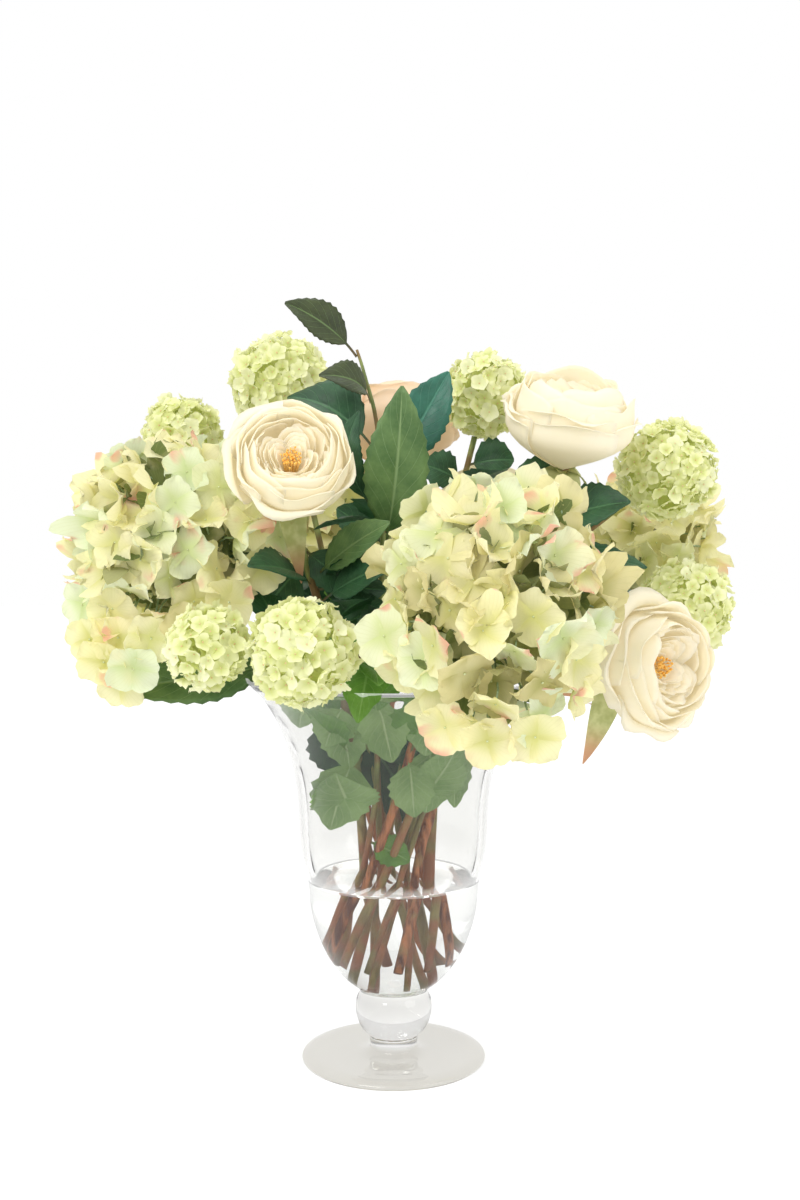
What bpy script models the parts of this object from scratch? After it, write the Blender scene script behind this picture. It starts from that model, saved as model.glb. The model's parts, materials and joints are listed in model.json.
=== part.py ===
"""A table centerpiece: garden roses, mophead hydrangeas, snowball viburnum and their leaves, cut and standing
in a little water in a footed clear-glass vase. Metres, +Z up, the middle of the foot's underside at the origin
and the fullest side of the bouquet towards -Y.

Every stem is straight in the vase and leans the same way round, as in a hand-tied spiral bouquet, so the
stems cross at a narrow waist without touching. Above the waist each one bends out to its flower.
"""

import math

import bmesh
import bpy
from mathutils import Matrix, Vector
from mathutils.geometry import interpolate_bezier

GAP = 0.0003  # between pieces that touch

# the vase
VASE_HEIGHT = 0.2889
RIM_RADIUS = 0.1103
FOOT_RADIUS = 0.0692
FOOT_EDGE = 0.0035
COLLAR_RADIUS = 0.0182
COLLAR_BOTTOM = 0.0076
COLLAR_TOP = 0.0149
BALL_RADIUS = 0.0288
BALL_HEIGHT = 0.039
BOWL_START = (0.0284, 0.0553)
BOWL_RADIUS = 0.0641
BOWL_TOP = 0.134
BODY_RADIUS = 0.0710
BODY_TOP = 0.175
WALL = 0.003
WELL_BOTTOM = 0.053
WELL_TOP = 0.130
VASE_SIDES = 24
# the two handles of each swelling curve, as (radius, height)
WELL_HANDLES = ((0.036, WELL_BOTTOM), (0.061, 0.085))
BOWL_HANDLES = ((0.046, 0.066), (BOWL_RADIUS, 0.098))
SHOULDER_HANDLES = ((0.0650, 0.145), (0.0705, 0.158))
FLARE_HANDLES = ((0.0710, 0.222), (0.0820, 0.260))
LIP_INNER = (RIM_RADIUS - 0.0032, VASE_HEIGHT - 0.0012)
LIP_TOP = (RIM_RADIUS - 0.0015, VASE_HEIGHT)
FOOT_SLOPE = (0.045, 0.0048)  # a point half way down the foot's upper side
FOOT_ROUND = 0.001
BALL_FROM, BALL_TO = 62, 140  # degrees from straight up between which the ball shows

WATER_LEVEL = 0.137

# the bundle of stems
WAIST_HEIGHT = 0.158
STRAIGHT_TO = 0.205
OUTER_WAIST, OUTER_LEAN, OUTER_SLOTS = 0.0245, 0.42, 12
INNER_WAIST, INNER_LEAN, INNER_SLOTS = 0.0112, 0.22, 6
OUTER_FIRST = -56  # azimuth in degrees at which slot 0 leaves the vase
INNER_FIRST = -58
FOOT_CLEARANCE = 0.0007  # between a stem's cut end and the glass
HANDLE_OUT, HANDLE_IN, ARCH = 0.42, 0.28, 1.9  # how a stem's bend leaves the vase, meets the flower and rises
STEM_POINTS = 8
NECK = 0.008  # straight length just behind a flower
CLEAR_OF_RIM = 0.36  # a stem that ends lower than this arches up to get over the rim

ROSE_STEM = 0.0032
HYDRANGEA_STEM = 0.0036
SNOWBALL_STEM = 0.0024
BRANCH_STEM = 0.0026

BLOOM_BACK = 0.34  # share of a rose's width from its centre back to the stem
HIP_FLARE = (2.0, 1.25)  # how far a rose's stem thickens at its last two points
SEPAL_REACH = 0.22  # as a share of the rose's width
SEPALS_BACK = 0.0047
SEPAL_DROOP = 0.45  # how far a point hangs back, as a share of its reach
SEPAL_PLATE = (0.0035, 0.0050, 0.003)  # lower radius, upper radius and depth of the plate they grow from
SEPALS_TURN = 0.15
# name: centre, width, direction it faces, ring of the bundle, slot in that ring
ROSES = {
    "rose_1": ((-0.069, -0.090, 0.445), 0.088, (0.10, -0.87, 0.48), "outer", 2),
    "rose_2": ((0.127, -0.020, 0.474), 0.096, (0.10, -0.38, 0.92), "inner", 0),
    "rose_3": ((0.181, -0.060, 0.302), 0.096, (0.60, -0.79, 0.10), "outer", 11),
    "rose_4": ((0.001, 0.085, 0.478), 0.090, (0.05, 0.45, 0.90), "inner", 3),
    "rose_5": ((0.085, 0.140, 0.410), 0.090, (0.30, 0.82, 0.48), "outer", 8),
}
MOP_BACK = 0.38  # share of a hydrangea head's depth that lies behind its centre
# name: centre, width, height, depth, direction it faces, ring, slot
HYDRANGEAS = {
    "hydrangea_1": ((-0.157, -0.020, 0.391), 0.150, 0.160, 0.110, (-0.62, -0.70, 0.35), "outer", 4),
    "hydrangea_2": ((0.066, -0.145, 0.352), 0.158, 0.185, 0.105, (0.12, -0.94, 0.33), "outer", 0),
    "hydrangea_3": ((0.203, 0.118, 0.382), 0.120, 0.120, 0.095, (0.72, 0.50, 0.48), "outer", 9),
    "hydrangea_4": ((-0.050, 0.135, 0.375), 0.150, 0.150, 0.110, (-0.30, 0.86, 0.42), "outer", 7),
}
# name: centre, width, direction away from its stem, ring, slot
SNOWBALLS = {
    "snowball_1": ((-0.088, 0.050, 0.511), 0.078, (-0.25, 0.15, 0.95), "inner", 2),
    "snowball_2": ((-0.165, 0.060, 0.472), 0.062, (-0.60, 0.20, 0.77), "outer", 5),
    "snowball_3": ((0.071, 0.050, 0.503), 0.066, (0.25, 0.05, 0.97), "inner", 4),
    "snowball_4": ((0.207, 0.020, 0.443), 0.076, (0.80, 0.05, 0.60), "inner", 5),
    "snowball_5": ((0.223, 0.030, 0.339), 0.074, (0.97, 0.05, 0.20), "outer", 10),
    "snowball_6": ((-0.122, -0.126, 0.322), 0.056, (-0.70, -0.70, 0.10), "outer", 3),
    "snowball_7": ((-0.058, -0.142, 0.320), 0.072, (-0.25, -0.95, 0.15), "outer", 1),
}
BRANCH_TIP = (-0.027, -0.004, 0.531)
BRANCH_FACE = (-0.35, 0.05, 0.93)
BRANCH_SLOT = 1

# name: stem that carries it, height of its joint, tip, width, side its upper face looks to, arch, colour
LEAVES = {
    "leaf_top": ("leaf_branch", 0.526, (-0.078, -0.030, 0.561), 0.023, (0.2, -0.60, 0.8), 0.006, "olive"),
    "leaf_curled": ("leaf_branch", 0.492, (-0.053, -0.034, 0.509), 0.030, (0.1, -0.75, 0.6), 0.016, "olive"),
    "leaf_broad_left": ("leaf_branch", 0.455, (-0.078, 0.004, 0.497), 0.046, (0.2, -0.80, 0.6), 0.014, "deep"),
    "leaf_narrow": ("leaf_branch", 0.408, (-0.024, -0.040, 0.483), 0.014, (0.1, -0.95, 0.3), 0.003, "deep"),
    "leaf_centre": ("leaf_branch", 0.375, (0.006, -0.062, 0.499), 0.045, (0.0, -1.00, 0.25), 0.012, "mid"),
    "leaf_blue": ("leaf_branch", 0.430, (0.040, -0.012, 0.514), 0.036, (0.1, -0.95, 0.3), 0.006, "blue"),
    "leaf_right": ("rose_2_stem", 0.395, (0.168, -0.052, 0.418), 0.032, (0.1, -0.70, 0.7), 0.010, "deep"),
    "leaf_pointed": ("rose_2_stem", 0.370, (0.175, -0.080, 0.372), 0.024, (0.1, -0.50, 0.8), 0.010, "deep"),
    "leaf_low_left": ("hydrangea_1_stem", 0.300, (-0.201, -0.040, 0.284), 0.034, (0.0, -0.60, 0.8), 0.006, "mid"),
    "leaf_inner_left": ("rose_1_stem", 0.360, (-0.098, -0.104, 0.374), 0.034, (0.0, -0.80, 0.6), 0.010, "deep"),
    "leaf_front_dark": ("rose_1_stem", 0.345, (0.004, -0.088, 0.377), 0.027, (0.2, -0.75, 0.6), 0.008, "deep"),
    "leaf_front_olive": ("rose_1_stem", 0.362, (-0.002, -0.076, 0.404), 0.024, (0.1, -0.80, 0.6), 0.008, "mid"),
    "leaf_at_rim": ("snowball_7_stem", 0.300, (-0.010, -0.128, 0.296), 0.024, (0.2, -0.60, 0.8), 0.006, "bright"),
    "leaf_in_vase": ("rose_1_stem", 0.190, (-0.040, -0.052, 0.226), 0.036, (-0.3, -0.95, 0.1), 0.004, "bright"),
    "leaf_in_neck": ("rose_3_stem", 0.200, (0.046, -0.046, 0.245), 0.026, (0.5, -0.85, 0.1), 0.003, "bright"),
}
# name, radius and depth as shares of the bloom's width, thickness, colour
ROSE_LAYERS = (
    ("outer_petals", 0.50, 0.46, 0.0020, "ivory"),
    ("inner_petals", 0.38, 0.41, 0.0016, "cream"),
)
CUP_ROUNDNESS, CUP_RISE = 0.9, 1.6  # powers that shape a cup's side
LOBES, LOBE_OUT, LOBE_UP = 5, 0.05, 0.10  # petals that show at a cup's edge, and how far they swell it
TUFT_RADIUS, TUFT_HEIGHT = 0.11, 0.09  # of the stamens, as shares of the bloom's width
TUFT_FOOT = 0.55  # how much narrower the tuft's lower half is
PETIOLE = 0.2  # share of a leaf's length that is its stalk
PETIOLE_WIDTH = 0.0026
FOLD = 0.16  # how far a blade's edges rise above its midrib, as a share of its half width
LEAF_THICKNESS = 0.001

COLOURS = {  # base colour, roughness
    "glass": ((0.93, 0.96, 0.96), 0.02),
    "water": ((0.90, 0.95, 0.95), 0.02),
    "bark": ((0.14, 0.045, 0.022), 0.75),
    "green_stem": ((0.13, 0.18, 0.045), 0.60),
    "ivory": ((0.93, 0.88, 0.72), 0.60),
    "cream": ((0.94, 0.80, 0.58), 0.60),
    "orange": ((0.90, 0.42, 0.07), 0.70),
    "pale_lime": ((0.72, 0.73, 0.36), 0.65),
    "lime": ((0.72, 0.80, 0.30), 0.65),
    "olive": ((0.045, 0.075, 0.020), 0.50),
    "deep": ((0.030, 0.105, 0.040), 0.50),
    "mid": ((0.085, 0.220, 0.070), 0.50),
    "blue": ((0.030, 0.170, 0.110), 0.50),
    "bright": ((0.150, 0.340, 0.050), 0.50),
}


def clear_scene():
    for thing in list(bpy.data.objects):
        bpy.data.objects.remove(thing)


def new_collection(name, hidden=False):
    made = bpy.data.collections.new(name)
    made.hide_render = hidden
    bpy.context.scene.collection.children.link(made)
    return made


def paint(thing, colour):
    """Its own Principled material, named for the object."""
    base, rough = COLOURS[colour]
    material = bpy.data.materials.new(thing.name)
    material.use_nodes = True
    shader = material.node_tree.nodes["Principled BSDF"]
    shader.inputs["Base Color"].default_value = (*base, 1)
    shader.inputs["Roughness"].default_value = rough
    shader.inputs["Metallic"].default_value = 0
    if colour in ("glass", "water"):
        shader.inputs["Transmission Weight"].default_value = 1
    thing.data.materials.append(material)


def add(name, data, colour, parent=None, where=None):
    thing = bpy.data.objects.new(name, data)
    (where or PARTS).objects.link(thing)
    thing.parent = parent
    if colour:
        paint(thing, colour)
    return thing


def smooth(mesh, degrees=40):
    mesh.shade_smooth()
    mesh.set_sharp_from_angle(angle=math.radians(degrees))


def facing(centre, face):
    """A matrix at centre whose local +Z looks along face."""
    return Matrix.Translation(centre) @ Vector(face).to_track_quat("Z", "Y").to_matrix().to_4x4()


def curve_between(start, first_handle, second_handle, end, points):
    """Points (radius, height) of a Bezier arc, both ends included."""
    handles = [Vector((r, h, 0)) for r, h in (start, first_handle, second_handle, end)]
    return [(p.x, p.y) for p in interpolate_bezier(*handles, points)]


def arc(radius, height, from_degrees, to_degrees, points):
    """Points (radius, height) on a circle about the vase's axis, by angle from straight up."""
    turns = [math.radians(from_degrees + (to_degrees - from_degrees) * i / (points - 1)) for i in range(points)]
    return [(radius * math.sin(a), height + radius * math.cos(a)) for a in turns]


def turned(name, outline, colour):
    """A turned solid from its outline (radius, height), run down the outer side."""
    mesh = bpy.data.meshes.new(name)
    edges = [(i, i + 1) for i in range(len(outline) - 1)]
    mesh.from_pydata([(r, 0, h) for r, h in outline], edges, [])
    thing = add(name, mesh, colour, BASE)
    screw = thing.modifiers.new("turn", "SCREW")
    screw.steps = VASE_SIDES
    screw.render_steps = VASE_SIDES
    screw.use_merge_vertices = True
    screw.merge_threshold = 0.0001
    return thing


def well(inset):
    """The inside of the bowl from its middle up to the shoulder, drawn in by inset."""
    bowl = curve_between((0, WELL_BOTTOM), *WELL_HANDLES, (BOWL_RADIUS - WALL, WELL_TOP), 7)
    return [(max(0, r - inset), h + inset) for r, h in bowl]


def from_glass(place):
    """The distance of a point inside the bowl from the glass, measured on the well's outline."""
    at = Vector((place.xy.length, place.z))
    outline = [Vector(p) for p in well(0)]
    nearest = []
    for low, high in zip(outline, outline[1:]):
        share = (at - low).dot(high - low) / (high - low).length_squared
        nearest.append((at - low.lerp(high, max(0, min(1, share)))).length)
    return min(nearest)


def make_vase():
    bowl = curve_between(BOWL_START, *BOWL_HANDLES, (BOWL_RADIUS, BOWL_TOP), 6)
    body = curve_between((BOWL_RADIUS, BOWL_TOP), *SHOULDER_HANDLES, (BODY_RADIUS, BODY_TOP), 5)
    neck = curve_between((BODY_RADIUS, BODY_TOP), *FLARE_HANDLES, (RIM_RADIUS, VASE_HEIGHT), 7)
    inside = well(0) + [(r - WALL, h) for r, h in body[1:] + neck[1:-1]]
    outside = neck[::-1] + body[-2::-1] + bowl[-2::-1]
    ball = arc(BALL_RADIUS, BALL_HEIGHT, BALL_FROM, BALL_TO, 6)
    collar = [(COLLAR_RADIUS, COLLAR_TOP), (COLLAR_RADIUS, COLLAR_BOTTOM)]
    foot = [FOOT_SLOPE, (FOOT_RADIUS - FOOT_ROUND, FOOT_EDGE), (FOOT_RADIUS, 0.5 * FOOT_EDGE)]
    under = [(FOOT_RADIUS - FOOT_ROUND, 0), (0, 0)]
    turned("vase", inside + [LIP_INNER, LIP_TOP] + outside + ball + collar + foot + under, "glass")


def make_water(stems):
    edge = BOWL_RADIUS - WALL - GAP
    surface = [(0, WATER_LEVEL), (edge - 0.001, WATER_LEVEL), (edge, WATER_LEVEL - 0.001)]
    water = turned("water", surface + well(GAP)[:0:-1] + [(0, WELL_BOTTOM + GAP)], "water")
    cutters = [tube_mesh(name + "_hole", path[:4], radius + GAP, 1) for name, path, radius in stems]
    cutter = add("stem_holes", joined("stem_holes", cutters), None, None, HELPERS)
    cutter.display_type = "WIRE"
    cutter.hide_render = True
    cut = water.modifiers.new("stem holes", "BOOLEAN")
    cut.object = cutter


def tube_mesh(name, path, radius, overrun=0, flare=()):
    """A closed tube along path; overrun lengthens its foot end in radii, and flare widens its last points."""
    curve = bpy.data.curves.new(name, "CURVE")
    curve.dimensions = "3D"
    curve.bevel_depth = radius
    curve.bevel_resolution = 1
    curve.use_fill_caps = True
    points = list(path)
    points[0] = points[0] - (points[1] - points[0]).normalized() * radius * overrun
    line = curve.splines.new("POLY")
    line.points.add(len(points) - 1)
    for knot, place in zip(line.points, points):
        knot.co = (*place, 1)
    for back, scale in enumerate(flare):
        line.points[-1 - back].radius = scale
    drawn = bpy.data.objects.new(name, curve)
    HELPERS.objects.link(drawn)
    bpy.context.view_layer.update()
    mesh = bpy.data.meshes.new_from_object(drawn.evaluated_get(bpy.context.evaluated_depsgraph_get()))
    mesh.name = name
    bpy.data.objects.remove(drawn)
    weld(mesh)
    return mesh


def weld(mesh):
    bm = bmesh.new()
    bm.from_mesh(mesh)
    bmesh.ops.remove_doubles(bm, verts=bm.verts, dist=0.00001)
    bmesh.ops.recalc_face_normals(bm, faces=bm.faces)
    bm.to_mesh(mesh)
    bm.free()


def joined(name, meshes):
    bm = bmesh.new()
    for mesh in meshes:
        bm.from_mesh(mesh)
    made = bpy.data.meshes.new(name)
    bm.to_mesh(made)
    bm.free()
    return made


def ring_line(ring, slot):
    """The straight stretch of a stem: a point at the waist and its direction per metre of height."""
    if ring == "outer":
        waist, lean, leaves_at = OUTER_WAIST, OUTER_LEAN, OUTER_FIRST - 360 / OUTER_SLOTS * slot
    else:
        waist, lean, leaves_at = INNER_WAIST, INNER_LEAN, INNER_FIRST - 360 / INNER_SLOTS * slot
    swing = math.atan2(lean * (VASE_HEIGHT - WAIST_HEIGHT), waist)
    turn = math.radians(leaves_at) - swing
    out = Vector((math.cos(turn), math.sin(turn), 0))
    along = Vector((-math.sin(turn), math.cos(turn), 0))
    return out * waist + Vector((0, 0, WAIST_HEIGHT)), along * lean + Vector((0, 0, 1))


def stem_path(ring, slot, end, face, radius):
    """Points from the cut end in the bowl, straight through the waist, then in a bend to end along face."""
    waist, direction = ring_line(ring, slot)
    foot = WATER_LEVEL
    while from_glass(waist + direction * (foot - WAIST_HEIGHT)) > radius + FOOT_CLEARANCE:
        foot -= 0.0002
    straight = [waist + direction * (h - WAIST_HEIGHT) for h in (foot, 0.110, WAIST_HEIGHT, STRAIGHT_TO)]
    start, neck = straight[-1], end - face * NECK
    reach = (neck - start).length
    over_rim = Vector((0, 0, max(0, CLEAR_OF_RIM - end.z)))
    bend = interpolate_bezier(
        start,
        start + direction.normalized() * reach * HANDLE_OUT + over_rim * ARCH,
        neck - face * reach * HANDLE_IN,
        neck,
        STEM_POINTS,
    )
    return straight + bend[1:] + [end]


def make_stem(name, ring, slot, end, face, radius, colour, flare=()):
    path = stem_path(ring, slot, end, face, radius)
    mesh = tube_mesh(name, path, radius, 0, flare)
    smooth(mesh)
    STEMS[name] = (path, radius)
    return add(name, mesh, colour, BASE)


def round_body(name, around, along, shape):
    """A ball with its poles on local Z, each vertex moved by shape(polar angle, turn) to (radius, height)."""
    bm = bmesh.new()
    bmesh.ops.create_uvsphere(bm, u_segments=around, v_segments=along, radius=1)
    for vert in bm.verts:
        polar = math.acos(max(-1, min(1, vert.co.z)))
        turn = math.atan2(vert.co.y, vert.co.x)
        out, height = shape(polar, turn)
        side = Vector((vert.co.x, vert.co.y))
        side = side.normalized() if side.length > 1e-6 else side * 0
        vert.co = (side.x * out, side.y * out, height)
    mesh = bpy.data.meshes.new(name)
    bm.to_mesh(mesh)
    bm.free()
    smooth(mesh, 60)
    return mesh


def cup(name, radius, height):
    """An open bowl of five petals: the lower half of a ball with a lobed edge. Its outside bottom is at 0."""
    bm = bmesh.new()
    bmesh.ops.create_uvsphere(bm, u_segments=15, v_segments=8, radius=1)
    bmesh.ops.delete(bm, geom=[v for v in bm.verts if v.co.z > 0.01], context="VERTS")
    for vert in bm.verts:
        share = math.acos(max(0, min(1, -vert.co.z))) / (math.pi / 2)
        turn = math.atan2(vert.co.y, vert.co.x)
        wave = math.cos(LOBES * turn) * share**2
        out = radius * math.sin(share * math.pi / 2) ** CUP_ROUNDNESS * (1 + LOBE_OUT * wave)
        rise = height * share**CUP_RISE * (1 + LOBE_UP * wave)
        vert.co = (out * math.cos(turn), out * math.sin(turn), rise) if share > 0.001 else (0, 0, 0)
    mesh = bpy.data.meshes.new(name)
    bm.to_mesh(mesh)
    bm.free()
    smooth(mesh, 60)
    return mesh


def sepals(name, reach):
    """A five-pointed star plate whose points droop back from the bloom."""
    lower, upper, deep = SEPAL_PLATE
    bm = bmesh.new()
    made = bmesh.ops.create_cone(
        bm, cap_ends=True, cap_tris=True, segments=10, radius1=lower, radius2=upper, depth=deep
    )
    for vert in made["verts"]:
        turn = math.atan2(vert.co.y, vert.co.x)
        is_point = round(turn / math.radians(36)) % 2 == 0
        if is_point:
            out = reach if vert.co.z > 0 else 0.93 * reach
            vert.co = (out * math.cos(turn), out * math.sin(turn), vert.co.z - SEPAL_DROOP * reach)
    mesh = bpy.data.meshes.new(name)
    bm.to_mesh(mesh)
    bm.free()
    return mesh


def make_rose(name, centre, width, face, ring, slot):
    face = Vector(face).normalized()
    base = Vector(centre) - face * BLOOM_BACK * width
    bloom = bpy.data.objects.new(name, None)
    PARTS.objects.link(bloom)
    bloom.parent = BASE
    bloom.matrix_world = facing(base, face)

    end = base - face * 2 * GAP
    stem = make_stem(name + "_stem", ring, slot, end, face, ROSE_STEM, "green_stem", HIP_FLARE)
    star = add(name + "_sepals", sepals(name + "_sepals", SEPAL_REACH * width), None, None, HELPERS)
    star.matrix_world = facing(base - face * SEPALS_BACK, face) @ Matrix.Rotation(SEPALS_TURN, 4, "Z")
    star.display_type = "WIRE"
    star.hide_render = True
    union = stem.modifiers.new("sepals", "BOOLEAN")
    union.operation = "UNION"
    union.solver = "MANIFOLD"
    union.object = star

    height = 0
    for layer, radius, depth, thick, colour in ROSE_LAYERS:
        label = name + "_" + layer
        petals = add(label, cup(label, radius * width, depth * width), colour, bloom)
        petals.location.z = height
        shell = petals.modifiers.new("petal thickness", "SOLIDIFY")
        shell.thickness = thick
        shell.offset = -1
        height += thick + GAP

    def tufted(polar, turn):
        narrow = 1 if polar < math.pi / 2 else TUFT_FOOT
        return TUFT_RADIUS * width * narrow * math.sin(polar), TUFT_HEIGHT * width * 0.5 * (1 + math.cos(polar))

    label = name + "_stamens"
    add(label, round_body(label, 8, 5, tufted), "orange", bloom).location.z = height + GAP


def make_hydrangea(name, centre, width, tall, depth, face, ring, slot):
    face = Vector(face).normalized()

    def domed(polar, turn):
        back = polar > math.pi / 2
        lump = 1 + 0.06 * math.sin(3 * turn) * math.sin(2 * polar) ** 2
        high = depth * (MOP_BACK if back else 1 - MOP_BACK) * math.cos(polar)
        return 0.5 * width * math.sin(polar) ** 0.8 * lump, high

    mesh = round_body(name + "_head", 16, 10, domed)
    mesh.transform(Matrix.Scale(tall / width, 4, (0, 1, 0)))
    head = add(name + "_head", mesh, "pale_lime", BASE)
    head.matrix_world = facing(centre, face)
    end = Vector(centre) - face * (MOP_BACK * depth + 2 * GAP)
    make_stem(name + "_stem", ring, slot, end, face, HYDRANGEA_STEM, "bark")


def make_snowball(name, centre, width, face, ring, slot):
    face = Vector(face).normalized()

    def knobbly(polar, turn):
        lump = 1 + 0.04 * math.sin(4 * turn) * math.sin(3 * polar)
        return 0.5 * width * math.sin(polar) * lump, 0.5 * width * math.cos(polar)

    head = add(name + "_head", round_body(name + "_head", 12, 8, knobbly), "lime", BASE)
    head.matrix_world = facing(centre, face)
    end = Vector(centre) - face * (0.5 * width + 2 * GAP)
    make_stem(name + "_stem", ring, slot, end, face, SNOWBALL_STEM, "green_stem")


def point_at_height(path, height):
    """Where a stem first reaches a height, and its direction there."""
    for low, high in zip(path, path[1:]):
        if low.z <= height <= high.z:
            share = (height - low.z) / (high.z - low.z)
            return low.lerp(high, share), (high - low).normalized()
    return path[-1], (path[-1] - path[-2]).normalized()


def make_leaf(name, carrier, height, tip, width, upper, arch, colour):
    """A stalk that widens into a pointed blade, arched towards its upper face and folded a little."""
    path, radius = STEMS[carrier]
    joint, direction = point_at_height(path, height)
    tip, upper = Vector(tip), Vector(upper).normalized()
    away = tip - joint
    away = (away - direction * away.dot(direction)).normalized()
    base = joint + away * (radius + 2 * GAP)
    middle = (base + tip) / 2 + upper * arch * 2
    bm = bmesh.new()
    bmesh.ops.create_grid(bm, x_segments=2, y_segments=7, size=1)
    for vert in bm.verts:
        along = (vert.co.y + 1) / 2
        place = base * (1 - along) ** 2 + middle * 2 * along * (1 - along) + tip * along**2
        tangent = (middle - base) * (1 - along) + (tip - middle) * along
        across = tangent.cross(upper).normalized()
        blade = max(0, (along - PETIOLE) / (1 - PETIOLE))
        stalk = PETIOLE_WIDTH * min(1, 0.3 + 5 * along) * (1 - 0.7 * blade)
        half = 0.5 * max(stalk, width * math.sin(math.pi * blade**0.85) ** 0.8)
        raised = upper * FOLD * half * abs(vert.co.x) * (blade > 0)
        vert.co = place + across * half * vert.co.x + raised
    bmesh.ops.recalc_face_normals(bm, faces=bm.faces)
    mesh = bpy.data.meshes.new(name)
    bm.to_mesh(mesh)
    bm.free()
    mesh.shade_smooth()
    leaf = add(name, mesh, colour, BASE)
    blade = leaf.modifiers.new("blade thickness", "SOLIDIFY")
    blade.thickness = LEAF_THICKNESS
    blade.offset = 0


def make_branch():
    face = Vector(BRANCH_FACE).normalized()
    make_stem("leaf_branch", "inner", BRANCH_SLOT, Vector(BRANCH_TIP), face, BRANCH_STEM, "bark")


clear_scene()
PARTS = new_collection("floral_centerpiece")
HELPERS = new_collection("helpers", hidden=True)
BASE = bpy.data.objects.new("centerpiece", None)
PARTS.objects.link(BASE)
STEMS = {}

make_vase()
for name, facts in ROSES.items():
    make_rose(name, *facts)
for name, facts in HYDRANGEAS.items():
    make_hydrangea(name, *facts)
for name, facts in SNOWBALLS.items():
    make_snowball(name, *facts)
make_branch()
make_water([(name, path, radius) for name, (path, radius) in STEMS.items()])
for name, facts in LEAVES.items():
    make_leaf(name, *facts)
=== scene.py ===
"""The looks of the floral centerpiece: its flowers, leaves, stems, glass vase and water.

Metres, +Z up. Each piece takes its place and direction from the plain solid that it stands for."""

import json
import random
from math import atan2, cos, exp, pi, radians, sin, sqrt

import bmesh
import bpy
from mathutils import Matrix, Vector, noise
from mathutils.bvhtree import BVHTree


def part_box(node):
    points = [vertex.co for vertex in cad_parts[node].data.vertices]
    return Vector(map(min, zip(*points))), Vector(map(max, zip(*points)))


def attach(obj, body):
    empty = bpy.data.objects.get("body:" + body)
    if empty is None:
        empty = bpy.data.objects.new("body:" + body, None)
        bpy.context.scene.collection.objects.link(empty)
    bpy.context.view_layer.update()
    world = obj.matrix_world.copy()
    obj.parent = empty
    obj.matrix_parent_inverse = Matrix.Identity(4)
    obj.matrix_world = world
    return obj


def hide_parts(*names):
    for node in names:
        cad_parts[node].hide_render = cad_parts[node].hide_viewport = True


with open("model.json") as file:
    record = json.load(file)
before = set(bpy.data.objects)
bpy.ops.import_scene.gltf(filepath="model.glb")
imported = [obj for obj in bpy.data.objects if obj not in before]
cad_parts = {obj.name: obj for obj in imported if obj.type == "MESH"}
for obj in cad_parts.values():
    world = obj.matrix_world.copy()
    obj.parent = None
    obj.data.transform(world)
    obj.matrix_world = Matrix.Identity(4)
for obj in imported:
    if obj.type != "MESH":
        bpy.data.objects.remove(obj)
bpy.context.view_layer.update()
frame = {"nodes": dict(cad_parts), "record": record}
NODES = frame["nodes"]
SLOTS = {part["node"]: part["material_slot"] for part in frame["record"]["subparts"]}

CAMERA_PLACE = (0.0048, -1.0737, 0.4025)
CAMERA_PITCH = 87.0
CAMERA_LENS = 43.24

ROSES = ("rose_1", "rose_2", "rose_3", "rose_4", "rose_5")
HYDRANGEAS = ("hydrangea_1", "hydrangea_2", "hydrangea_3", "hydrangea_4")
SNOWBALLS = tuple(f"snowball_{i}" for i in range(1, 8))
STEM_SIDES = 6  # corners of a stem solid's rings
STEM_RINGS = 12
SEPAL_INDEX = 1  # the sepal's place in a stem's list of finishes
LEAF_FINISHES = ("sepal", "leaf_bright", "leaf_dark", "leaf_pale")
GOLDEN_TURN = 2.399963  # radians from one to the next of an even spread
MERGE = 0.00002  # points nearer than this are one
SILK_GLOSS = 0.25
PETAL_SILK = 0.0005
INNER_PETAL_SILK = 0.0004
PETAL_SHADES = (0.2, 0.70)
GLASS_ROOM = 0.016  # from the outside of the glass to the nearest leaf
AIM = (0, 0, 0.36)  # where the lamps point
LAMP_SIZE = 1.2

chance = random.Random(11)
between = chance.uniform


# ---- shader sockets as values


def put(socket, value):
    """Links a shader value to a socket, or sets the socket's own number or colour."""
    if isinstance(value, Wire):
        value.tree.links.new(value.socket, socket)
    elif hasattr(value, "__len__") and len(value) == 3 and socket.type == "RGBA":
        socket.default_value = (*value, 1)
    else:
        socket.default_value = value


class Wire:
    """One output socket of a node tree, which adds Math nodes as it is used in an expression."""

    def __init__(self, tree, socket):
        self.tree = tree
        self.socket = socket

    def math(self, operation, *values):
        made = self.tree.nodes.new("ShaderNodeMath")
        made.operation = operation
        for place, value in zip(made.inputs, values):
            put(place, value)
        return Wire(self.tree, made.outputs[0])

    def __add__(self, other):
        return self.math("ADD", self, other)

    def __radd__(self, other):
        return self.math("ADD", other, self)

    def __sub__(self, other):
        return self.math("SUBTRACT", self, other)

    def __rsub__(self, other):
        return self.math("SUBTRACT", other, self)

    def __mul__(self, other):
        return self.math("MULTIPLY", self, other)

    def __rmul__(self, other):
        return self.math("MULTIPLY", other, self)

    def absolute(self):
        return self.math("ABSOLUTE", self)

    def sine(self):
        return self.math("SINE", self)

    def step(self, low, high):
        """0 below low, 1 above high and smooth between."""
        made = self.tree.nodes.new("ShaderNodeMapRange")
        made.interpolation_type = "SMOOTHSTEP"
        for name, value in (("Value", self), ("From Min", low), ("From Max", high)):
            put(made.inputs[name], value)
        return Wire(self.tree, made.outputs[0])


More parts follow.
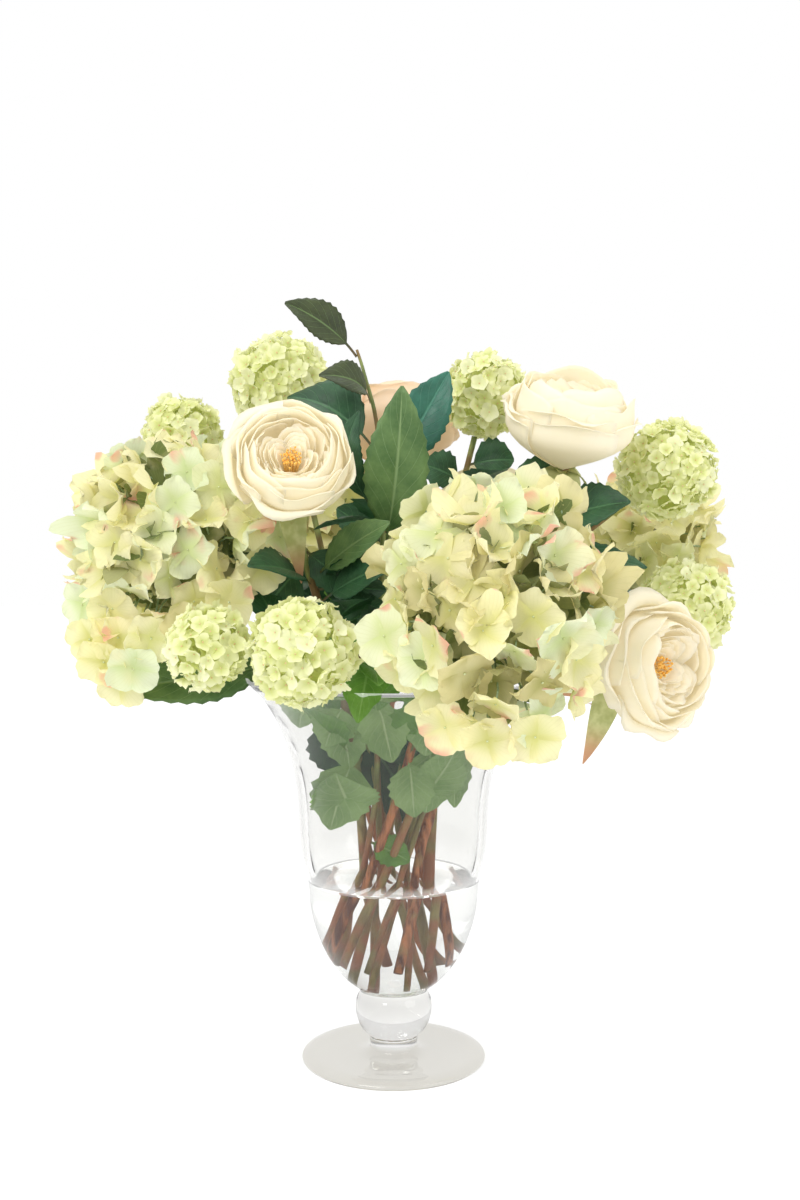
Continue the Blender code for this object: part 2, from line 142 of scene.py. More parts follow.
class Finish:
    """A material under construction."""

    def __init__(self, name):
        self.material = bpy.data.materials.new(name)
        self.material.use_nodes = True
        self.tree = self.material.node_tree
        self.shader = self.tree.nodes["Principled BSDF"]
        self.output = self.tree.nodes["Material Output"]

    def node(self, kind, settings=None, inputs=None, output=0):
        made = self.tree.nodes.new(kind)
        for name, value in (settings or {}).items():
            setattr(made, name, value)
        for name, value in (inputs or {}).items():
            put(made.inputs[name], value)
        return Wire(self.tree, made.outputs[output])

    def place(self):
        return self.node("ShaderNodeTexCoord", output="Object")

    def height(self):
        return self.node("ShaderNodeSeparateXYZ", inputs={0: self.place()}, output="Z")

    def uv(self):
        """How far across (0 to 1) and how far along (0 at the base) a petal or leaf."""
        laid_out = self.node("ShaderNodeTexCoord", output="UV")
        split = self.node("ShaderNodeSeparateXYZ", inputs={0: laid_out})
        return split, Wire(self.tree, split.socket.node.outputs["Y"])

    def shade(self):
        """The number that each floret, petal or leaf carries."""
        return self.node("ShaderNodeAttribute", {"attribute_name": "shade"}, output="Fac")

    def stretched(self, stretch):
        return self.node("ShaderNodeVectorMath", {"operation": "MULTIPLY"}, {0: self.place(), 1: stretch})

    def speckle(self, scale, detail=2.0, stretch=None):
        where = self.stretched(stretch) if stretch else self.place()
        return self.node("ShaderNodeTexNoise", inputs={"Vector": where, "Scale": scale, "Detail": detail})

    def mix(self, share, first, second):
        return self.node("ShaderNodeMix", {"data_type": "RGBA"}, {0: share, 6: first, 7: second}, 2)

    def roughen(self, height, strength, distance):
        sockets = {"Height": height, "Strength": strength, "Distance": distance}
        self.set(Normal=self.node("ShaderNodeBump", inputs=sockets, output="Normal"))

    def set(self, **values):
        """Principled sockets by name, with spaces written as underscores."""
        for name, value in values.items():
            put(self.shader.inputs[name.replace("_", " ")], value)

    def let_light_through_with_painted_glow(self, share, colour, lift=0.0):
        """Thin petals and leaves let a little light through from their far side; emission of their colour at
        strength lift is a painted glow that lightens their shade.
        """
        # painted glow: the surface gives off its own colour, so its shaded parts stay light
        self.set(Emission_Color=colour, Emission_Strength=lift)
        glow = self.node("ShaderNodeBsdfTranslucent", inputs={"Color": colour})
        surface = Wire(self.tree, self.shader.outputs[0])
        mixed = self.node("ShaderNodeMixShader", inputs={0: share, 1: surface, 2: glow})
        put(self.output.inputs["Surface"], mixed)


# ---- finishes


def petal_finish(name, base, tip, warm, veins):
    """Matte silk: base colour to tip colour, fine veins that fan out, and a warm blush on some petals."""
    made = Finish(name)
    across, along = made.uv()
    tint = made.shade()
    fan = ((across - 0.5) * (38 - 20 * along)).sine().absolute()
    vein = (1 - fan.step(0, 0.35)) * along.step(0.05, 0.3) * veins
    cloud = made.speckle(60).step(0.3, 0.7)
    colour = made.mix(along.step(0.1, 0.8), base, tip)
    colour = made.mix(tint.step(0.0, 0.5) * (0.35 + 0.3 * cloud), made.mix(0.5, base, tip), colour)
    edge = ((across - 0.5).absolute() * 2).step(0.55, 1.0)
    blush = tint.step(0.72, 0.80) * (edge * 0.5 + along.step(0.45, 1.0)).step(0.1, 1.1)
    colour = made.mix(blush, colour, warm)
    colour = made.mix(vein, colour, made.mix(0.5, colour, base))
    made.set(Base_Color=colour, Roughness=0.62 + 0.1 * cloud, Sheen_Weight=0.15, Sheen_Roughness=0.5)
    made.roughen(vein + made.speckle(900) * 0.25, 0.25, 0.0006)
    made.set(Specular_IOR_Level=SILK_GLOSS)
    # painted glow: the petal colour given off at 0.12 lightens the shade deep in the cup
    made.let_light_through_with_painted_glow(0.35, colour, 0.12)
    return made.material


def hydrangea_finish():
    """Three greens run from floret to floret; a few carry a salmon edge; the inner layer is painted dark green as
    shade.
    """
    made = Finish("hydrangea petal silk")
    across, along = made.uv()
    tint = made.shade()
    fan = ((across - 0.5) * (44 - 26 * along)).sine().absolute()
    vein = (1 - fan.step(0, 0.3)) * along.step(0.05, 0.3)
    cloud = made.speckle(45).step(0.3, 0.7)
    lime = made.mix(along.step(0.0, 0.7), (0.77, 0.76, 0.31), (0.94, 0.90, 0.55))
    mint = made.mix(along.step(0.0, 0.7), (0.68, 0.77, 0.40), (0.85, 0.91, 0.66))
    khaki = made.mix(along.step(0.0, 0.7), (0.50, 0.48, 0.16), (0.76, 0.69, 0.36))
    # painted shade: the lowest shade numbers, those of the inner layer, turn dark green as the shade between
    # florets
    colour = made.mix(tint.step(0.02, 0.12), (0.17, 0.22, 0.07), khaki)
    colour = made.mix(tint.step(0.18, 0.34), colour, lime)
    colour = made.mix(tint.step(0.46, 0.60), colour, mint)
    colour = made.mix(tint.step(0.66, 0.74), colour, lime)
    colour = made.mix(made.speckle(30, 1).step(0.55, 0.72) * 0.5, colour, (0.95, 0.88, 0.58))
    blush = made.speckle(41, 1).step(0.60, 0.67) * along.step(0.20, 0.95) * tint.step(0.2, 0.4)
    colour = made.mix(blush * 0.85, colour, (0.90, 0.46, 0.34))
    colour = made.mix(vein * 0.35, colour, made.mix(0.5, colour, (0.62, 0.64, 0.22)))
    made.set(Base_Color=colour, Roughness=0.6 + 0.12 * cloud, Sheen_Weight=0.12)
    made.roughen(vein + made.speckle(900) * 0.25, 0.3, 0.0006)
    made.set(Specular_IOR_Level=SILK_GLOSS)
    # painted glow: the floret colour given off at 0.08 lightens its shade
    made.let_light_through_with_painted_glow(0.35, colour, 0.08)
    return made.material


def snowball_finish():
    made = Finish("viburnum petal silk")
    _, along = made.uv()
    tint = made.shade()
    cloud = made.speckle(120).step(0.3, 0.7)
    colour = made.mix(along.step(0.0, 0.85), (0.70, 0.74, 0.28), (0.91, 0.92, 0.56))
    # darker green for low shade numbers: painted shade on the inner layer, and a random tone on some outer florets
    colour = made.mix(tint.step(0.0, 0.45), (0.64, 0.69, 0.24), colour)
    colour = made.mix(tint.step(0.6, 1.0) * 0.6, colour, (0.95, 0.95, 0.76))
    made.set(Base_Color=colour, Roughness=0.6 + 0.12 * cloud, Sheen_Weight=0.1)
    made.roughen(made.speckle(1100), 0.25, 0.0006)
    made.set(Specular_IOR_Level=SILK_GLOSS)
    # painted glow: the floret colour given off at 0.08 lightens its shade
    made.let_light_through_with_painted_glow(0.3, colour, 0.08)
    return made.material


def bead_finish(name, low, high):
    made = Finish(name)
    cloud = made.speckle(500).step(0.35, 0.65)
    made.set(Base_Color=made.mix(cloud, low, high), Roughness=0.6)
    made.roughen(cloud, 0.3, 0.0004)
    return made.material


def leaf_finish(name, dark, light, vein_colour, roughness, lift):
    """A printed leaf: midrib, side veins that run up to the edge, mottled green between them, waxy."""
    made = Finish(name)
    across, along = made.uv()
    off = ((across - 0.5) * 2).absolute()
    midrib = 1 - off.step(0.02, 0.075)
    slant = ((along - 0.30 * off) * 27 + made.speckle(28, 1) * 1.5).sine().absolute()
    side_vein = (1 - slant.step(0.0, 0.16)) * off.step(0.0, 0.05) * (1 - off.step(0.75, 0.98))
    net = made.speckle(420, 3).step(0.35, 0.65)
    cloud = made.speckle(55).step(0.3, 0.7)
    colour = made.mix(cloud * 0.65 + net * 0.2, dark, light)
    colour = made.mix((side_vein * 0.6 + midrib * 0.85) * along.step(0.0, 0.3), colour, vein_colour)
    colour = made.mix(1 - along.step(0.05, 0.22), colour, (0.17, 0.12, 0.05))
    made.set(Base_Color=colour, Roughness=roughness + 0.12 * net)
    made.roughen(0 - side_vein * 0.6 - midrib + net * 0.15, 0.5, 0.0012)
    made.set(Coat_Weight=0.12, Coat_Roughness=0.35)
    # painted glow: the leaf's lighter green given off at strength lift keeps shaded bright and pale leaves light
    made.let_light_through_with_painted_glow(0.15, made.mix(0.5, colour, light), lift)
    return made.material


def bark_finish():
    made = Finish("woody stem bark")
    streak = made.speckle(210, 4, (1, 1, 0.10))
    knots = made.speckle(75, 3)
    colour = made.mix(streak.step(0.35, 0.65), (0.15, 0.046, 0.020), (0.60, 0.230, 0.090))
    colour = made.mix(knots.step(0.52, 0.70) * 0.6, colour, (0.34, 0.26, 0.10))
    # painted glow: the bark colour given off at 0.10 lightens the stems in the water, where little light reaches
    # them
    made.set(Base_Color=colour, Roughness=0.72, Emission_Color=colour, Emission_Strength=0.10)
    made.roughen(streak + knots, 0.8, 0.0015)
    return made.material


def green_stem_finish():
    made = Finish("green stem skin")
    streak = made.speckle(160, 3, (1, 1, 0.12))
    patches = made.speckle(38, 2)
    colour = made.mix(streak.step(0.3, 0.7), (0.13, 0.17, 0.045), (0.30, 0.35, 0.11))
    colour = made.mix(patches.step(0.50, 0.66) * 0.75, colour, (0.22, 0.085, 0.035))
    woody = 1 - made.height().step(0.13, 0.26)
    wood = made.mix(streak, (0.20, 0.06, 0.028), (0.66, 0.25, 0.10))
    colour = made.mix(woody * (0.35 + 0.6 * patches.step(0.40, 0.58)), colour, wood)
    # painted glow: the stem colour given off at 0.06 lightens stems in the water, where little light reaches them
    made.set(Base_Color=colour, Roughness=0.55, Emission_Color=colour, Emission_Strength=0.06)
    made.roughen(streak, 0.4, 0.0008)
    return made.material


def sepal_finish():
    made = Finish("sepal green and salmon")
    _, along = made.uv()
    cloud = made.speckle(130).step(0.3, 0.7)
    colour = made.mix(cloud, (0.44, 0.48, 0.18), (0.64, 0.66, 0.32))
    colour = made.mix(along.step(0.50, 0.92), colour, (0.68, 0.36, 0.20))
    made.set(Base_Color=colour, Roughness=0.6)
    made.let_light_through_with_painted_glow(0.2, colour)
    return made.material


def glass_finish():
    """Clear glass, deeper in tone where it is thick: the foot, the ball and the neck; partly the tone of thick
    glass and partly painted shade for the darker table and studio that the glass shows.
    """
    made = Finish("clear vase glass")
    made.set(Roughness=0.0, Transmission_Weight=1.0, IOR=1.47)
    height = made.height()
    # painted shade: the base of the foot, by the table, is darkest and warmest
    tint = made.mix(height.step(0.008, 0.014), (0.61, 0.585, 0.515), (0.78, 0.775, 0.76))
    tint = made.mix(height.step(0.044, 0.060), tint, (0.965, 0.965, 0.955))
    # painted shade: the neck is greyer than the bowl, standing in for the darker surroundings seen through its
    # walls
    made.set(Base_Color=made.mix(height.step(0.140, 0.160), tint, (0.895, 0.895, 0.88)))
    made.roughen(made.speckle(14, 1), 0.05, 0.002)
    return made.material


def lip_highlight_finish():
    """The edge of the glass shows as a pale line: a painted highlight, white emission on the lip."""
    made = Finish("glass edge with painted highlight")
    made.set(Base_Color=(0.9, 0.9, 0.88), Roughness=0.15, Transmission_Weight=0.9, IOR=1.47)
    # painted highlight: the lip gives off white light
    made.set(Emission_Color=(1, 1, 1), Emission_Strength=0.30)
    return made.material


def water_finish():
    """Clear, with a painted highlight on its surface near the glass: a ring of white emission."""
    made = Finish("clear water")
    made.set(Base_Color=(0.985, 0.995, 0.99), Roughness=0.0, Transmission_Weight=1.0, IOR=1.33)
    level_place = made.stretched((1, 1, 0))
    out = made.node("ShaderNodeVectorMath", {"operation": "LENGTH"}, {0: level_place}, output="Value")
    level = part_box("water")[1].z
    # painted highlight: the ring of the top surface next to the glass glows white
    edge = out.step(0.030, 0.050) * made.height().step(level - 0.0006, level - 0.0001)
    made.set(Emission_Color=made.mix(edge, (0, 0, 0), (1, 1, 1)), Emission_Strength=0.30)
    made.roughen(made.speckle(9, 1), 0.02, 0.002)
    return made.material


def floor_finish():
    made = Finish("white table")
    made.set(Base_Color=(0.45, 0.45, 0.45), Roughness=0.8)
    made.set(Emission_Color=(1, 1, 1), Emission_Strength=0.66)
    return made.material


# ---- shapes


def new_mesh(name, bm):
    mesh = bpy.data.meshes.new(name)
    bm.to_mesh(mesh)
    bm.free()
    return mesh


def small_mesh(name, bm, finish_index):
    """A small smooth shape in one finish, ready to carry a shade number; wide end caps stay flat."""
    for face in bm.faces:
        face.smooth = len(face.verts) < 5
        face.material_index = finish_index
    mesh = new_mesh(name, bm)
    mesh.attributes.new("shade", "FLOAT", "POINT")
    return mesh


def add_object(name, data):
    made = bpy.data.objects.new(name, data)
    bpy.context.scene.collection.objects.link(made)
    return made


def add_piece(name, bm, nodes, finishes, thickness=0.0):
    """A finished piece that stands for the named solids."""
    made = add_object(name, new_mesh(name, bm))
    for finish in finishes:
        made.data.materials.append(finish)
    if thickness:
        shell = made.modifiers.new("thickness", "SOLIDIFY")
        shell.thickness = thickness
        shell.offset = 0
    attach(made, "root")
    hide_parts(*nodes)


def blade(name, across, along, spot, finish_index=0):
    """A sheet whose point at side (-1 to 1) and up (0 to 1) lies at spot(side, up); both are its UV too."""
    bm = bmesh.new()
    bm.loops.layers.uv.new("UVMap")
    bmesh.ops.create_grid(bm, x_segments=across, y_segments=along, size=1, calc_uvs=True)
    for vert in bm.verts:
        vert.co = spot(vert.co.x, (vert.co.y + 1) / 2)
    return small_mesh(name, bm, finish_index)


def bead(name, radius, detail, finish_index, stretch):
    bm = bmesh.new()
    bm.loops.layers.uv.new("UVMap")
    bmesh.ops.create_icosphere(bm, subdivisions=detail, radius=radius)
    bmesh.ops.scale(bm, vec=(1, 1, stretch), verts=bm.verts)
    return small_mesh(name, bm, finish_index)


def tube(name, points, radii, sides, finish_index, smooth_steps):
    """A closed round stalk through the points, as thick as radii says at each one."""
    curve = bpy.data.curves.new(name, "CURVE")
    curve.dimensions = "3D"
    curve.bevel_depth = 1
    curve.bevel_resolution = sides
    curve.use_fill_caps = True
    line = curve.splines.new("NURBS")
    line.points.add(len(points) - 1)
    line.order_u = min(4, len(points))
    line.use_endpoint_u = True
    line.resolution_u = smooth_steps
    for knot, place, radius in zip(line.points, points, radii):
        knot.co = (*place, 1)
        knot.radius = radius
    drawn = add_object(name, curve)
    bpy.context.view_layer.update()
    mesh = bpy.data.meshes.new_from_object(drawn.evaluated_get(bpy.context.evaluated_depsgraph_get()))
    bpy.data.objects.remove(drawn)
    bpy.data.curves.remove(curve)
    bm = bmesh.new()
    bm.from_mesh(mesh)
    bpy.data.meshes.remove(mesh)
    bmesh.ops.remove_doubles(bm, verts=bm.verts, dist=0.00001)
    bmesh.ops.recalc_face_normals(bm, faces=bm.faces)
    return small_mesh(name, bm, finish_index)


class Bunch:
    """Collects small shapes into one mesh."""

    def __init__(self):
        self.bm = bmesh.new()
        self.bm.loops.layers.uv.new("UVMap")

    def put(self, mesh, matrix=None, shade=0.0):
        """Takes in a shape and uses it up."""
        if matrix is not None:
            mesh.transform(matrix)
        mesh.attributes["shade"].data.foreach_set("value", [shade] * len(mesh.vertices))
        self.bm.from_mesh(mesh)
        bpy.data.meshes.remove(mesh)

    def put_copy(self, mesh, matrix, shade=0.0):
        self.put(mesh.copy(), matrix, shade)

    def put_petal(self, petal, matrix, turn):
        self.put(petal, matrix @ spin(turn), between(*PETAL_SHADES))

    def piece(self, name, nodes, finishes, thickness=0.0):
        add_piece(name, self.bm, nodes, finishes, thickness)


def spin(turn):
    return Matrix.Rotation(turn, 4, "Z")


def facing(centre, face, turn=0.0):
    """A matrix at centre whose +Z looks along face, turned about it."""
    aim = Vector(face).to_track_quat("Z", "Y").to_matrix().to_4x4()
    return Matrix.Translation(centre) @ aim @ spin(turn)


def solid_copy(node):
    """A merged copy of a plain solid."""
    bm = bmesh.new()
    bm.from_mesh(NODES[node].data)
    bmesh.ops.remove_doubles(bm, verts=bm.verts, dist=MERGE)
    return bm


def corners(node):
    bm = solid_copy(node)
    found = [v.co.copy() for v in bm.verts]
    bm.free()
    return found


def middle(points):
    return sum(points, Vector()) / len(points)


# ---- stems


def stem_rings(node, rings):
    """Centres and radii of a stem solid's rings, walked along its edges from the cut end upwards."""
    bm = solid_copy(node)
    ring = sorted(bm.verts, key=lambda v: v.co.z)[:STEM_SIDES]
    seen = set(ring)
    found = []
    while ring and len(found) < rings:
        centre = middle([v.co for v in ring])
        radius = sum((v.co - centre).length for v in ring) / len(ring)
        if not found or radius < 1.3 * found[0][1]:
            found.append((centre, radius))
        elif len(found) > 6:
            break  # the sepals begin here
        around = [edge.other_vert(v) for v in ring for edge in v.link_edges]
        ring = [v for v in dict.fromkeys(around) if v not in seen]
        seen.update(ring)
    bm.free()
    return found


def stem_mesh(name, rings, wander, seed):
    """The rings joined by a smooth stalk that thickens a little at its leaf joints."""
    points = []
    radii = []
    for i, (place, radius) in enumerate(rings):
        side = Vector(noise.noise_vector(place * 40 + Vector((seed, 0, 0)))) * wander
        points.append(place + (side if 0 < i < len(rings) - 2 else Vector()))
        radii.append(radius * (1.12 if i % 3 == 1 else 0.96))
        if i < len(rings) - 1:
            after = rings[i + 1][0]
            points.append(place.lerp(after, 0.5) + Vector(noise.noise_vector(after * 55)) * wander)
            radii.append(radius * (0.94 + 0.1 * noise.noise(place * 90)))
    return tube(name, points, radii, 2, 0, 4)


# ---- leaves


def leaf_mesh(name, base, bend, tip, upper, width, arch_wave, teeth, across=10, along=26, stalk=0.2):
    """A stalk that widens into a toothed, gently waved blade with a folded midrib."""
    phase = between(0, 6)

    def spot(side, up):
        place = base * (1 - up) ** 2 + bend * 2 * up * (1 - up) + tip * up**2
        tangent = (bend - base) * (1 - up) + (tip - bend) * up
        sideways = tangent.cross(upper).normalized()
        normal = sideways.cross(tangent).normalized()
        body = max(0, (up - stalk) / (1 - stalk))
        outline = sin(pi * body**0.85) ** 0.78
        tooth = 1 + (teeth if round(up * along) % 2 else -teeth) * (abs(side) > 0.95) * (0.1 < body < 0.97)
        half = 0.5 * max(0.0020, width * outline * tooth)
        rise = 0.20 * half * abs(side) ** 0.8 * (body > 0)
        wave = arch_wave * half * side * side * sin(9 * up + phase + 1.6 * side) * body
        rib = -0.06 * half * exp(-((side / 0.12) ** 2)) * (body > 0.02)
        return place + sideways * half * side + normal * (rise + wave + rib)

    return blade(name, across, along, spot)


def leaf_facts(node, joint):
    """Base, bend point, tip, upper side and width of a leaf solid that grows from the joint."""
    points = corners(node)
    base = min(points, key=lambda p: (p - joint).length)
    tip = max(points, key=lambda p: (p - base).length)
    axis = (tip - base).normalized()
    length = (tip - base).length
    inner = [p for p in points if 0.42 < (p - base).dot(axis) / length < 0.68]
    half_way = middle([p for p in points if 0.40 < (p - base).dot(axis) / length < 0.60] or inner)
    left, right = max(
        ((a, b) for a in inner for b in inner),
        key=lambda pair: ((pair[0] - pair[1]) - axis * (pair[0] - pair[1]).dot(axis)).length,
    )
    spread = (left - right) - axis * (left - right).dot(axis)
    upper = axis.cross(spread).normalized()
    if upper.dot(half_way - (base + tip) / 2) < 0:
        upper = -upper
    along = (half_way - base).dot(axis) / length
    bend = (half_way - base * (1 - along) ** 2 - tip * along**2) / (2 * along * (1 - along))
    return base, bend, tip, upper, spread.length


# ---- roses


def cup_petal(
    name, half_angle, foot, belly, rim, height, roll, skew, ruffle, notch=0.05, across=10, along=10
):
    """A broad petal wrapped round the bloom: narrow foot, full belly, rounded edge that rolls outwards."""
    phase = between(0, 6)

    def spot(side, up):
        reach = up * (1 - 0.20 * abs(side) ** 2.6 - notch * exp(-((side / 0.22) ** 2)))
        swell = sin(min(1, reach / 0.62) * pi / 2)
        out = foot + (belly - foot) * swell + (rim - belly) * max(0, (reach - 0.45) / 0.55) ** 1.4
        high = height * (1 - (1 - reach) ** 1.25)
        curl = max(0, (reach - 0.74) / 0.26)
        out += roll * curl**1.7
        high -= roll * 0.62 * curl**2.4
        flick = max(0, abs(side) - 0.6) / 0.4
        out += roll * 0.55 * flick**2 * reach**2
        out += skew * side * (0.2 + 0.8 * reach)
        out += ruffle * sin(5.5 * side + phase) * reach**3
        high += ruffle * sin(4.3 * side + 1.7 * phase) * reach**3
        open_to = half_angle * (0.30 + 0.70 * sin(min(1, up / 0.6) * pi / 2))
        turn = side * open_to
        return Vector((out * cos(turn), out * sin(turn), high))

    return blade(name, across, along, spot)


def folded_petal(name, out, height, curve, half_turn, lean, foot_height):
    """A small inner petal: a trough that opens to the middle of the bloom, with a rounded top."""
    phase = between(0, 6)

    def spot(side, up):
        reach = up * (1 - 0.30 * abs(side) ** 2.2 - 0.07 * exp(-((side / 0.2) ** 2)))
        turn = side * half_turn * (0.45 + 0.55 * up)
        away = out * (0.42 + 0.58 * reach**0.7) - curve * (1 - cos(turn))
        away += lean * reach**2.5 + 0.06 * curve * sin(4 * side + phase) * reach
        sideways = curve * sin(turn) * (0.55 + 0.45 * sin(reach * pi * 0.62))
        return Vector((away, sideways, foot_height + height * reach))

    return blade(name, 8, 7, spot)


def rose_outer(name, width, matrix, finish):
    """Four whorls of broad petals, from the upright inmost to the rolled outmost."""
    bunch = Bunch()
    whorls = (  # petals, half angle, belly, rim, height, roll, ruffle
        (5, 0.84, 0.395, 0.305, 0.525, 0.010, 0.010),
        (5, 0.86, 0.440, 0.365, 0.510, 0.026, 0.016),
        (5, 0.84, 0.480, 0.420, 0.455, 0.052, 0.020),
        (5, 0.80, 0.495, 0.475, 0.380, 0.088, 0.024),
    )
    for count, half, belly, rim, height, roll, ruffle in whorls:
        start = between(0, 6)
        for i in range(count):
            petal = cup_petal(
                f"{name} petal",
                half * between(0.92, 1.08),
                0.03 * width,
                belly * width * between(0.97, 1.03),
                rim * width * between(0.96, 1.04),
                height * width * between(0.90, 1.05),
                roll * width * between(0.5, 1.6),
                0.030 * width,
                ruffle * width,
                between(0.0, 0.07),
                12,
                11,
            )
            bunch.put_petal(petal, matrix, start + i * 2 * pi / count + between(-0.12, 0.12))
    bunch.piece(f"{name}_outer_petals_silk", [f"{name}_outer_petals"], [finish], PETAL_SILK)


def rose_inner(name, width, matrix, finish, quarters):
    """Nested troughs in quarters, as in an old garden rose, packed inside the cup."""
    bunch = Bunch()
    for quarter in range(quarters):
        middle_turn = quarter * 2 * pi / quarters + between(-0.12, 0.12)
        for layer in range(7):
            share = layer / 6
            out = (0.100 + 0.240 * share) * width * between(0.95, 1.05)
            turn = middle_turn + between(-0.34, 0.34) * (0.5 + share)
            petal = folded_petal(
                f"{name} folded petal",
                out,
                (0.315 + 0.110 * share) * width * between(0.88, 1.06),
                (0.080 + 0.105 * share) * width,
                between(1.05, 1.35),
                (0.030 - 0.060 * share) * width * between(0.3, 1.6),
                0.055 * width,
            )
            bunch.put_petal(petal, matrix, turn)
    for i in range(9):
        turn = i * 2 * pi / 9 + between(-0.2, 0.2)
        petal = cup_petal(
            f"{name} lining petal",
            between(0.42, 0.58),
            0.03 * width,
            0.365 * width,
            0.300 * width,
            between(0.42, 0.47) * width,
            -0.02 * width,
            0.012 * width,
            0.006 * width,
        )
        bunch.put_petal(petal, matrix, turn)
    bunch.piece(f"{name}_inner_petals_silk", [f"{name}_inner_petals"], [finish], INNER_PETAL_SILK)


def rose_stamens(name, width, matrix):
    """A tuft of tipped threads round a small knot."""
    count = 46
    bunch = Bunch()
    anther = bead("anther", 0.0095 * width, 1, 1, 1.5)
    for i in range(count):
        turn = i * GOLDEN_TURN
        out = 0.088 * width * sqrt((i + 0.5) / count)
        root = Vector((0.4 * out * cos(turn), 0.4 * out * sin(turn), 0.05 * width))
        top = Vector((out * cos(turn), out * sin(turn), between(0.330, 0.385) * width))
        top += Vector((between(-1, 1), between(-1, 1), 0)) * 0.008 * width
        filament = tube("filament", [root, root.lerp(top, 0.6), top], [0.0026 * width] * 3, 0, 0, 2)
        bunch.put(filament, matrix)
        bunch.put_copy(anther, matrix @ facing(top, (between(-1, 1), between(-1, 1), 1)))
    for i in range(7):
        turn = i * 2 * pi / 7
        top = Vector((0.012 * width * cos(turn), 0.012 * width * sin(turn), 0.36 * width))
        bunch.put_copy(anther, matrix @ Matrix.Translation(top))
    bunch.piece(f"{name}_stamens_silk", [f"{name}_stamens"], [finishes["filament"], finishes["anther"]])


def sepal_mesh(name, reach, droop, curl, slim=0.25):
    def spot(side, up):
        outline = sin(pi * min(1, 0.22 + 0.78 * up)) ** 0.8
        half = slim * reach * outline * (1 - 0.55 * up) + 0.0004
        turn = droop * up + curl * up * up
        out = reach * (up * cos(turn * 0.6)) + 0.001
        high = -reach * up * sin(turn * 0.6)
        return Vector((out, half * side, high + 0.25 * half * abs(side)))

    return blade(name, 4, 9, spot, SEPAL_INDEX)


# where the longest sepal hangs
LONG_SEPALS = {"rose_1": (0.10, -0.15, -1.0), "rose_3": (-0.30, -0.10, -1.0)}
# how broad and how deep a bloom is beside its solids
BLOOMS = {"rose_1": (0.93, 1.15), "rose_2": (1.0, 1.36), "rose_3": (0.94, 1.32), "rose_4": (1.0, 1.25)}


def make_rose(name, outer_silk, seed):
    """All four pieces of one rose, on the axis that its own solids give."""
    outer = corners(f"{name}_outer_petals")
    tuft = middle(corners(f"{name}_stamens"))
    neck = stem_rings(f"{name}_stem", STEM_RINGS - 1)
    face = (middle(outer) - tuft).normalized()
    lowest = min((p - tuft).dot(face) for p in outer)
    base = tuft + face * lowest
    width = max(((p - base) - face * (p - base).dot(face)).length for p in outer) / 0.525
    broad, deep = BLOOMS.get(name, (1.0, 1.0))
    matrix = facing(base, face, between(0, 6)) @ Matrix.Diagonal((broad, broad, deep, 1))
    rose_outer(name, width, matrix, finishes[outer_silk])
    rose_inner(name, width, matrix, finishes["cream"], 5 if seed % 2 else 4)
    rose_stamens(name, width, matrix)

    rings = [r for r in neck if (r[0] - base).length > 0.010] + [(base - face * 0.004, 0.0040)]
    bunch = Bunch()
    bunch.put(stem_mesh(name, rings, 0.0009, seed))
    bunch.put(bead("hip", 0.0062, 3, 0, 1.25), facing(base - face * 0.0035, face))
    for i in range(5):
        reach = width * between(0.36, 0.54)
        sepal = sepal_mesh("sepal", reach, between(0.5, 2.4), between(0, 0.8))
        turn = i * 2 * pi / 5 + between(-0.2, 0.2)
        bunch.put(sepal, facing(base - face * 0.001, face, turn))
    if name in LONG_SEPALS:
        down = Vector(LONG_SEPALS[name]).normalized()
        sideways = down.cross(Vector((0, 1, 0))).normalized()
        turned = Matrix((down, sideways, down.cross(sideways))).transposed().to_4x4()
        sepal = sepal_mesh("long sepal", 0.80 * width, 0.2, 0.3, 0.16)
        bunch.put(sepal, Matrix.Translation(base) @ turned)
    add_leaflets(bunch, name, rings)
    bunch.piece(f"{name}_stem_skin", [f"{name}_stem"], stem_finishes("green_stem"))


